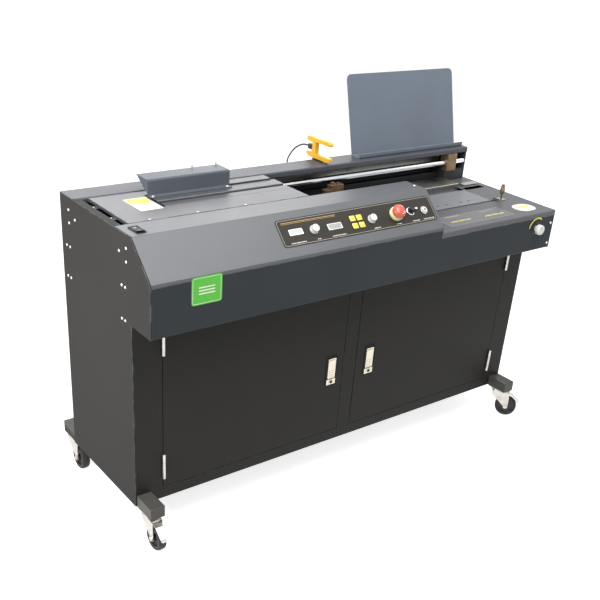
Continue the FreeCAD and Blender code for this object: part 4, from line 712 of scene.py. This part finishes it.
def covers():
    dressed("left_side_plate", side_shaded_coat)
    dressed("right_side_plate", side_shaded_coat)
    dressed("control_hood", shell_coat)
    dressed("front_skirt", skirt_shaded_coat)
    dressed("table_cover", table_coat)
    dressed("rear_cover", cover_coat)
    dressed("shelf_cover", [table_coat, steel], lambda p, low, high: int(low.z > SHELF_TOP - 0.5))
    dressed("cover_rack", rack_coat)
    dressed("cover_table", table_coat)
    # The bed starts behind the nut of the cover stop, which runs in the slot that is left open
    bed = placed(eased(plate(BED_LENGTH, 122, BED_THICKNESS), 0.5), on_top(BED_MIDDLE, 228, COVER_PLATE_TOP))
    # painted shade: black discs on the bed's top stand in for the dark inside its holes
    shade_dots = [placed(turned([(0, 0.15), (4.0, 0.15), (4.0, 0), (0, 0)], 24),
                    on_top(x, 194, COVER_PLATE_TOP + BED_THICKNESS))
             for x in (1116, 1155, 1217, 1254)]
    show("cover_bed", joined([tinted(bed, 0)] + [tinted(shade_dot, 1) for shade_dot in shade_dots]), [bed_highlight_coat, inner_coat],
         "frame")
    # painted shade: a black strip on the cover plate at the bottom of the slot stands in for the shade in the
    # slot
    show("slot_painted_shade", placed(plate(BED_LENGTH, 10.6, 0.2), on_top(BED_MIDDLE, 161.5, COVER_PLATE_TOP + 0.1)),
         inner_coat)


def cabinet():
    def hinge_or_panel(point, low, high):
        return int(point.y < HINGE_LEAF_FRONT)

    dressed("cabinet_front_frame", [cabinet_coat, zinc], hinge_or_panel)
    dressed("cabinet_back_panel", cabinet_coat)
    for side in ("left", "right"):
        dressed(side + "_door", [cabinet_coat, nickel, zinc], door_finish)
        dressed(side + "_latch", nickel)
    dressed("skids", [skid_lit_coat, black_plastic], lambda p, low, high: int(high.y - low.y < 60))


def door_finish(point, low, high):
    if high.x - low.x < 60:
        return 1
    return 2 if point.y < HINGE_LEAF_FRONT and (point.x < 110 or point.x > 1350) else 0


def mechanism():
    dressed("rod_end_blocks", [inner_coat, bronze], lambda p, low, high: int(low.z > 790))
    dressed("rail_wall", [inner_coat, steel], lambda p, low, high: int(low.z > 800))
    dressed("glue_unit", [glue_crust, bronze], lambda p, low, high: int(low.y > 350 or high.z > 790))
    dressed("carriage_frame", [steel, bronze], lambda p, low, high: int(high.y - low.y < 35))
    dressed("rear_jaw", table_coat)
    dressed("front_jaw", [table_coat, chrome], lambda p, low, high: int(high.x - low.x < 20))
    dressed("backing_bracket", [bracket_coat, zinc], lambda p, low, high: int(high.x - low.x < 20))
    dressed("milling_cutter", [steel, carbide], lambda p, low, high: int(p.z > 770.5))


def sensor():
    def sensor_finish(point, low, high):
        return int(not (high.z > 930))

    dressed("sensor_fork", [yellow_plastic, black_plastic], sensor_finish)


def caster_frame(corner):
    """The placing of a caster, with x along its axle, y to its back and z up from the floor."""
    joints = {joint["name"]: joint for joint in frame["record"]["behaviour"]["joints"]}
    kingpin = joints["swivel_" + corner]["pos_m"]
    axle = joints["roll_" + corner]["axis"]
    turn = Matrix.Rotation(math.atan2(axle[1], axle[0]), 4, "Z")
    return Matrix.Translation((kingpin[0], kingpin[1], 0)) @ turn


def casters():
    along_axle = facing(Vector((0, -38 * MM, 37.5 * MM)), (0, 1, 0), (0, 0, 1))
    for corner in ("front_left", "front_right", "rear_left", "rear_right"):
        stand = caster_frame(corner)
        dressed("fork_" + corner, zinc)
        tyre = tinted(turned([
            (28.4, -10.2), (30.5, -11.8), (34.2, -11.6), (36.3, -9.2), (37.2, -5.0), (37.5, 0.0), (37.2, 5.0),
            (36.3, 9.2), (34.2, 11.6), (30.5, 11.8), (28.4, 10.2),
        ], 72, ring=True), 0)
        hub = tinted(turned([
            (4.2, -13.1), (8.4, -13.1), (9.0, -12.4), (9.4, -6.0), (12.0, -3.6), (23.5, -3.4), (25.6, -5.0),
            (26.2, -9.6), (28.6, -10.3), (28.6, 10.3), (26.2, 9.6), (25.6, 5.0), (23.5, 3.4), (12.0, 3.6),
            (9.4, 6.0), (9.0, 12.4), (8.4, 13.1), (4.2, 13.1),
        ], 56, ring=True), 1)
        wheel = show("wheel_%s_turned" % corner, placed(joined([tyre, hub]), stand @ along_axle),
                     [tyre_rubber, black_plastic], "wheel_" + corner)
        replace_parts(smoothed(wheel, 30), "wheel_" + corner)
        nuts = [placed(eased(pointer(7.7, 3.9, 6), 0.5), along_axle @ Matrix.Translation((0, 0, 16 * MM))),
                placed(eased(pointer(7.7, 3.9, 6), 0.5),
                       along_axle @ Matrix.Rotation(math.pi, 4, "X") @ Matrix.Translation((0, 0, 16 * MM)))]
        race = shifted(turned([(18.5, 0), (21.4, 0.4), (22.2, 2.0), (21.4, 3.6), (18.5, 4.0)], 56, ring=True),
                       0, 0, 95.6)
        smoothed(show("swivel_race_" + corner, placed(joined(nuts + [race]), stand), zinc, "fork_" + corner), 30)
    for corner in ("front_left", "front_right"):
        stand = caster_frame(corner)
        dressed("pedal_" + corner, pedal_plate)
        down = Vector((0, -11, -19)).normalized()
        lip = placed(eased(plate(16, 22, 2.0, 4), 0.4),
                     facing(Vector((0, -74.5 * MM, 54.5 * MM)), (-1, 0, 0), down))
        ribs = [placed(eased(plate(15, 1.6, 0.7), 0.3),
                       facing(Vector((0, y * MM, z * MM)), (1, 0, 0), Vector((0, 26, 21.5)).normalized()))
                for y, z in ((-61.0, 76.0), (-67.0, 71.0), (-73.0, 66.0))]
        smoothed(show("pedal_lip_" + corner, placed(joined([lip] + ribs), stand), pedal_plate,
                      "pedal_" + corner), 30)


def latch_details():
    """Ribs and lock faces on the paddle latches, and a plate round each lock."""
    for side, x in (("left", 656.0), ("right", 805.0)):
        ribs = [placed(eased(plate(20, 2.2, 0.8, 0.8), 0.3), on_front(x, z, LATCH_FRAME_BACK))
                for z in (352, 345, 338, 331)]
        grip = placed(eased(plate(22, 7, 1.6, 1.5), 0.5), on_front(x, 385, LATCH_FRAME_BACK))
        smoothed(show(side + "_paddle_ribs", joined(ribs + [grip]), nickel, side + "_latch"), 30)
        surround = tinted(placed(eased(plate(37, 21, 3.0, 1.5), 0.4), on_front(x, 314, 96.5)), 0)
        ring = tinted(placed(turned([(5.4, 0), (8.6, 0), (8.6, 1.2), (7.8, 2.0), (6.2, 2.0), (5.4, 1.2)], 40,
                                    ring=True),
                             on_front(x, 316, LATCH_FRAME_BACK)), 0)
        core = tinted(placed(turned([(0, 1.0), (5.0, 1.0), (5.4, 0.6), (5.4, 0), (0, 0)], 36),
                             on_front(x, 316, LATCH_FRAME_BACK)), 1)
        # painted shade: a black plate on the lock's core stands in for the dark of the keyway
        keyway_shade = tinted(placed(plate(1.3, 6.0, 0.2), on_front(x, 316, 92.5)), 2)
        smoothed(show(side + "_lock_face", joined([surround, ring, core, keyway_shade]), [nickel, chrome, inner_coat],
                      side + "_door"), 30)


def panel():
    """Control overlay with its windows, collars and bezels, and the knobs and buttons on it."""
    def on_panel(shape, number, x, s, w):
        return tinted(placed(shape, on_slope(x, s, w)), number)

    parts = [
        on_panel(plate(542, 78, 1.0, 9), 0, 667, 60, 0),
        on_panel(outline(536, 72, 0.12, 1.3, 7), 1, 667, 60, 1.0),
        on_panel(eased(outline(43, 17, 1.4, 2.0, 1.5), 0.4), 2, 447.5, 60.8, 1.0),
        on_panel(plate(39, 13, 0.6), 3, 447.5, 60.8, 1.0),
        on_panel(eased(outline(47, 18, 1.4, 2.0, 1.5), 0.4), 2, 574.5, 64, 1.0),
        on_panel(plate(43, 14, 0.6), 3, 574.5, 64, 1.0),
        on_panel(turned([(11.3, 0), (20.2, 0), (21.0, 0.8), (21.0, 7.6), (18.8, 9.8), (12.2, 9.8),
                         (11.3, 9.0)], 64,
                        ring=True), 4, *ESTOP_PLACE, 1.0),
        on_panel(turned([(3.4, 0), (10.6, 0), (10.6, 2.4), (9.6, 4.8), (4.0, 5.0), (3.4, 4.6)], 48,
                        ring=True), 5, 851, 60, 1.0),
        on_panel(turned([(8.9, 4.4), (11.4, 0.6), (12.6, 0.2), (12.6, 0), (10.6, 0)], 48, ring=True), 6, 851,
                 60, 1.0),
        on_panel(turned([(8.4, 0), (12.0, 0), (12.0, 1.8), (11.0, 3.0), (9.2, 3.0), (8.4, 2.4)], 48,
                        ring=True), 6, 900, 64, 1.0), ]
    parts.append(tinted(placed(eased(outline(26, 48, 2.0, 2.6, 2), 0.5), on_top(38, 129, TABLE_TOP)), 7))
    for column in range(3):
        for row in (-2.5, 2.5):
            for side in (-2.6, 2.6):
                parts.append(on_panel(plate(1.0, 4.0, 0.1), 8, 574.5 - 11 + 11 * column + side, 64 + row,
                                      1.6))
        for row in (-5.0, 5.0):
            parts.append(on_panel(plate(4.4, 1.0, 0.1), 8, 574.5 - 11 + 11 * column, 64 + row, 1.6))
    overlay = show("control_overlay_finished", joined(parts),
                   [overlay_film, print_line, silver_plastic, display_glass, cream_plastic, black_plastic,
                    chrome,
                    rocker_black, print_grey], "frame")
    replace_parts(smoothed(overlay, 35), "control_overlay")
    knobs(on_panel)
    push_buttons(on_panel)


def knobs(on_panel):
    for name, x in (("speed_knob", 505), ("heat_knob", 704)):
        knob = [
            on_panel(turned([(0, 2.6), (11.6, 2.6), (12.4, 1.8), (12.5, 0), (0, 0)], 56), 0, x, 63, 1.1),
            on_panel(eased(fluted(11.0, 0.6, 10.4, 22, 0.94), 0.15, 1), 0, x, 63, 3.6),
            on_panel(turned([(0, 1.1), (8.4, 1.0), (9.3, 0.4), (9.3, 0), (0, 0)], 56), 1, x, 63, 13.8),
            on_panel(plate(2.0, 8.6, 0.15, 0.3), 2, x, 58, 14.8),
        ]
        piece = show(name + "_turned", joined(knob), [silver_plastic, white_plastic, print_grey], name)
        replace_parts(smoothed(piece, 35), name)

    def round_hub(number, profile, y):
        return tinted(placed(turned(profile, 64), on_front(*SKIRT_KNOB_PLACE, y)), number)

    grip = tinted(placed(eased(fluted(16.0, 0.7, 11.5, 30, 0.97), 0.15, 1),
                         on_front(*SKIRT_KNOB_PLACE, -8.4)), 0)
    face = round_hub(1, [(0, 2.0), (11.5, 2.0), (14.8, 1.2), (15.4, 0), (0, 0)], -19.8)
    neck = round_hub(0, [(0, 8.2), (9.4, 8.2), (9.4, 0), (0, 0)], -0.4)
    mark = tinted(placed(plate(1.6, 9.0, 0.15), on_front(1370, 722.5, -21.8)), 2)
    knob = show("skirt_knob_turned", joined([grip, face, neck, mark]),
                [silver_plastic, white_plastic, print_grey], "skirt_knob")
    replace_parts(smoothed(knob, 35), "skirt_knob")


def push_buttons(on_panel):
    mushroom = turned([
        (0, 29.6), (7.0, 29.4), (11.5, 28.6), (15.4, 26.8), (18.4, 24.0), (19.8, 20.6), (20.0, 18.2),
        (19.2, 17.0),
        (11.0, 16.6), (11.0, 5.6), (0, 5.6),
    ], 72)
    head = [on_panel(mushroom, 0, *ESTOP_PLACE, 1.0)]
    for start in (20, 140, 260):
        head.append(on_panel(arc(12.0, 13.8, start, 64, 0.3), 1, *ESTOP_PLACE, 28.9))
        tip = math.radians(start + 68)
        head.append(on_panel(shifted(pointer(2.6, 0.3), 12.9 * math.cos(tip), 12.9 * math.sin(tip)), 1,
                             *ESTOP_PLACE, 28.9))
    button = show("estop_button_turned", joined(head), [red_plastic, print_white], "estop_button")
    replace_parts(smoothed(button, 35), "estop_button")

    lever = [
        on_panel(eased(plate(22, 7, 8.6, 3), 0.8, 3), 0, 856, 60, 6.4),
        on_panel(eased(plate(9.5, 5.6, 1.3, 2.6), 0.5), 1, 861.4, 60, 14.8),
        on_panel(turned([(0, 6.4), (5.2, 6.4), (6.2, 5.2), (6.2, 0), (0, 0)], 40), 0, 851, 60, 5.0),
    ]
    piece = show("selector_lever_moulded", joined(lever), [black_plastic, white_plastic], "selector_lever")
    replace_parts(smoothed(piece, 35), "selector_lever")

    button = [
        on_panel(turned([(0, 6.6), (5.6, 6.6), (7.2, 6.0), (8.0, 4.8), (8.0, 0), (0, 0)], 48), 0, 900, 64,
                 1.0),
        on_panel(turned([(0, 0.3), (3.6, 0.3), (3.9, 0), (0, 0)], 36), 1, 900, 64, 7.6),
    ]
    piece = show("end_button_turned", joined(button), [white_plastic, print_grey], "end_button")
    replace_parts(smoothed(piece, 35), "end_button")

    for row, s in (("upper", 52), ("lower", 74)):
        for column, x in (("left", 640), ("right", 663.5)):
            name = "key_%s_%s" % (row, column)
            cap = [on_panel(eased(plate(18, 16, 1.6, 2), 0.4), 0, x, s, 2.1),
                   on_panel(turned([(0, 1.4), (3.0, 1.4), (3.0, 0), (0, 0)], 24), 0, x, s, 1.0),
                   on_panel(outline(12.5, 10.5, 0.1, 0.7, 1), 1, x, s, 3.7)]
            arrow = pointer(2.7, 0.12)
            if row == "lower":
                bmesh.ops.rotate(arrow, cent=(0, 0, 0), matrix=Matrix.Rotation(math.pi, 3, "Z"),
                                 verts=arrow.verts)
            cap.append(on_panel(arrow, 1, x, s, 3.7))
            piece = show(name + "_moulded", joined(cap), [key_plastic, key_print], name)
            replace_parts(smoothed(piece, 35), name)


def fittings():
    """Screw heads, cover stop, inlet and the small clips along the table."""
    heads = show("body_screws_finished", screws_over("body_screws", lambda low, high: True, 4.0, 2.0),
                 bright_zinc, "frame")
    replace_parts(smoothed(heads, 35), "body_screws")
    over = screws_over("backing_bracket", lambda low, high: high.x - low.x < 10 and high.z < 880, 4.3, 2.6)
    smoothed(show("bracket_screw_heads", over, bright_zinc, "carriage"), 35)
    dressed("power_rocker", rocker_black)
    front_up = Vector((0, 21, -3)).normalized()
    marks = [placed(plate(1.3, 6.0, 0.15), facing(at(38, 118, 873.7), (1, 0, 0), front_up)),
             placed(turned([(2.2, 0), (3.3, 0), (3.3, 0.15), (2.2, 0.15)], 32, ring=True),
                    on_top(38, 141, 871.8))]
    show("rocker_marks", joined(marks), print_white, "power_rocker")
    dressed("cover_stop", [steel, bronze], lambda p, low, high: int(high.z > 790))
    dressed("mains_inlet", [black_plastic, nickel], lambda p, low, high: int(high.x - low.x < 5))
    clips = [placed(eased(plate(6, 5, 1.4, 0.8), 0.3), on_top(x, 183.5, TABLE_TOP - 0.3))
             for x in (101.5, 238.0, 382.0)]
    smoothed(show("table_clips", joined(clips), bright_zinc, "frame"), 35)


def dashes(x, y, width, height, count):
    """A row of short bars that stands where a line of small print would be."""
    step = width / count
    return [shifted(plate(step * (0.78 if i % 3 else 0.5), height, 0.12), x - width / 2 + step * (i + 0.5), y)
            for i in range(count)]


def labels():
    """Printed plates and lines, all of them without words, and a black ring of painted shadow round the skirt
    knob.
    """
    captions = []
    for x, width in ((444, 50), (510, 12), (578, 48), (712, 23), (793, 19), (857, 28), (906, 42)):
        captions += dashes(x - 667, 60 - 90.5, width, 2.6, max(2, round(width / 5)))
    show("panel_captions", placed(joined(captions), on_slope(667, 60, PANEL_TOP)), print_white)
    show("panel_header",
         placed(joined([shifted(plate(178, 1.1, 0.12), 0, 2.2), shifted(plate(178, 0.6, 0.12), 0, -1.4)]),
                                on_slope(501, 34, PANEL_TOP)), print_gold)

    green = [tinted(plate(86, 72, 0.3, 7), 0), tinted(shifted(outline(80, 66, 0.1, 0.9, 5), 0, 0, 0.3), 1),
             tinted(shifted(plate(46, 3.0, 0.1, 1.4), 0, 8, 0.3), 1),
             tinted(shifted(plate(46, 3.0, 0.1, 1.4), 0, 0, 0.3), 1),
             tinted(shifted(plate(46, 3.0, 0.1, 1.4), 0, -8, 0.3), 1)]
    show("skirt_label", placed(joined(green), on_front(153, 745)), [label_green, label_cream])
    table = [tinted(plate(64, 99, 0.25, 1), 0), tinted(shifted(plate(58, 40, 0.12, 1), 0, 26, 0.25), 1)]
    show("table_label", placed(joined(table), on_top(145, 297, TABLE_TOP)), [label_cream, print_yellow])

    shelf = [tinted(plate(278, 80, 0.2, 3), 0), tinted(shifted(outline(274, 76, 0.1, 1.6, 3), 0, 0, 0.2), 1),
             tinted(shifted(plate(58, 8, 0.1), -70, 30, 0.2), 1),
             tinted(shifted(plate(56, 5, 0.1), 76, 26, 0.2), 1)]
    shelf += [tinted(shifted(bar, 0, 0, 0.2), 2) for bar in dashes(-69, -8.5, 83, 7, 9) + dashes(75, -11, 86,
                                                                                                 7, 9)]
    show("shelf_label", placed(joined(shelf), on_top(1149, 67, SHELF_TOP)),
         [label_grey, print_line, print_yellow])
    oval = [tinted(plate(80, 64, 0.25, 30), 0), tinted(shifted(plate(52, 10, 0.1, 2), 0, 6, 0.25), 1)]
    show("shelf_oval", placed(joined(oval), on_top(1371.6, 64.4, SHELF_TOP)), [label_cream, print_yellow])
    show("knob_sweep", placed(arc(31, 35.5, 55, 118, 0.2), on_front(*SKIRT_KNOB_PLACE)), print_yellow)
    # painted shadow: a black ring on the skirt round the knob stands in for the knob's shadow
    show("knob_shadow_ring", placed(turned([(5.2, 0), (19.5, 0), (19.5, 0.4), (5.2, 0.4)], 56, ring=True),
                             on_front(*SKIRT_KNOB_PLACE)), black_plastic)


set_camera()
light_studio()
lay_floor()
sensor_cable()
finish_nodes()
covers()
cabinet()
mechanism()
sensor()
casters()
latch_details()
panel()
fittings()
labels()
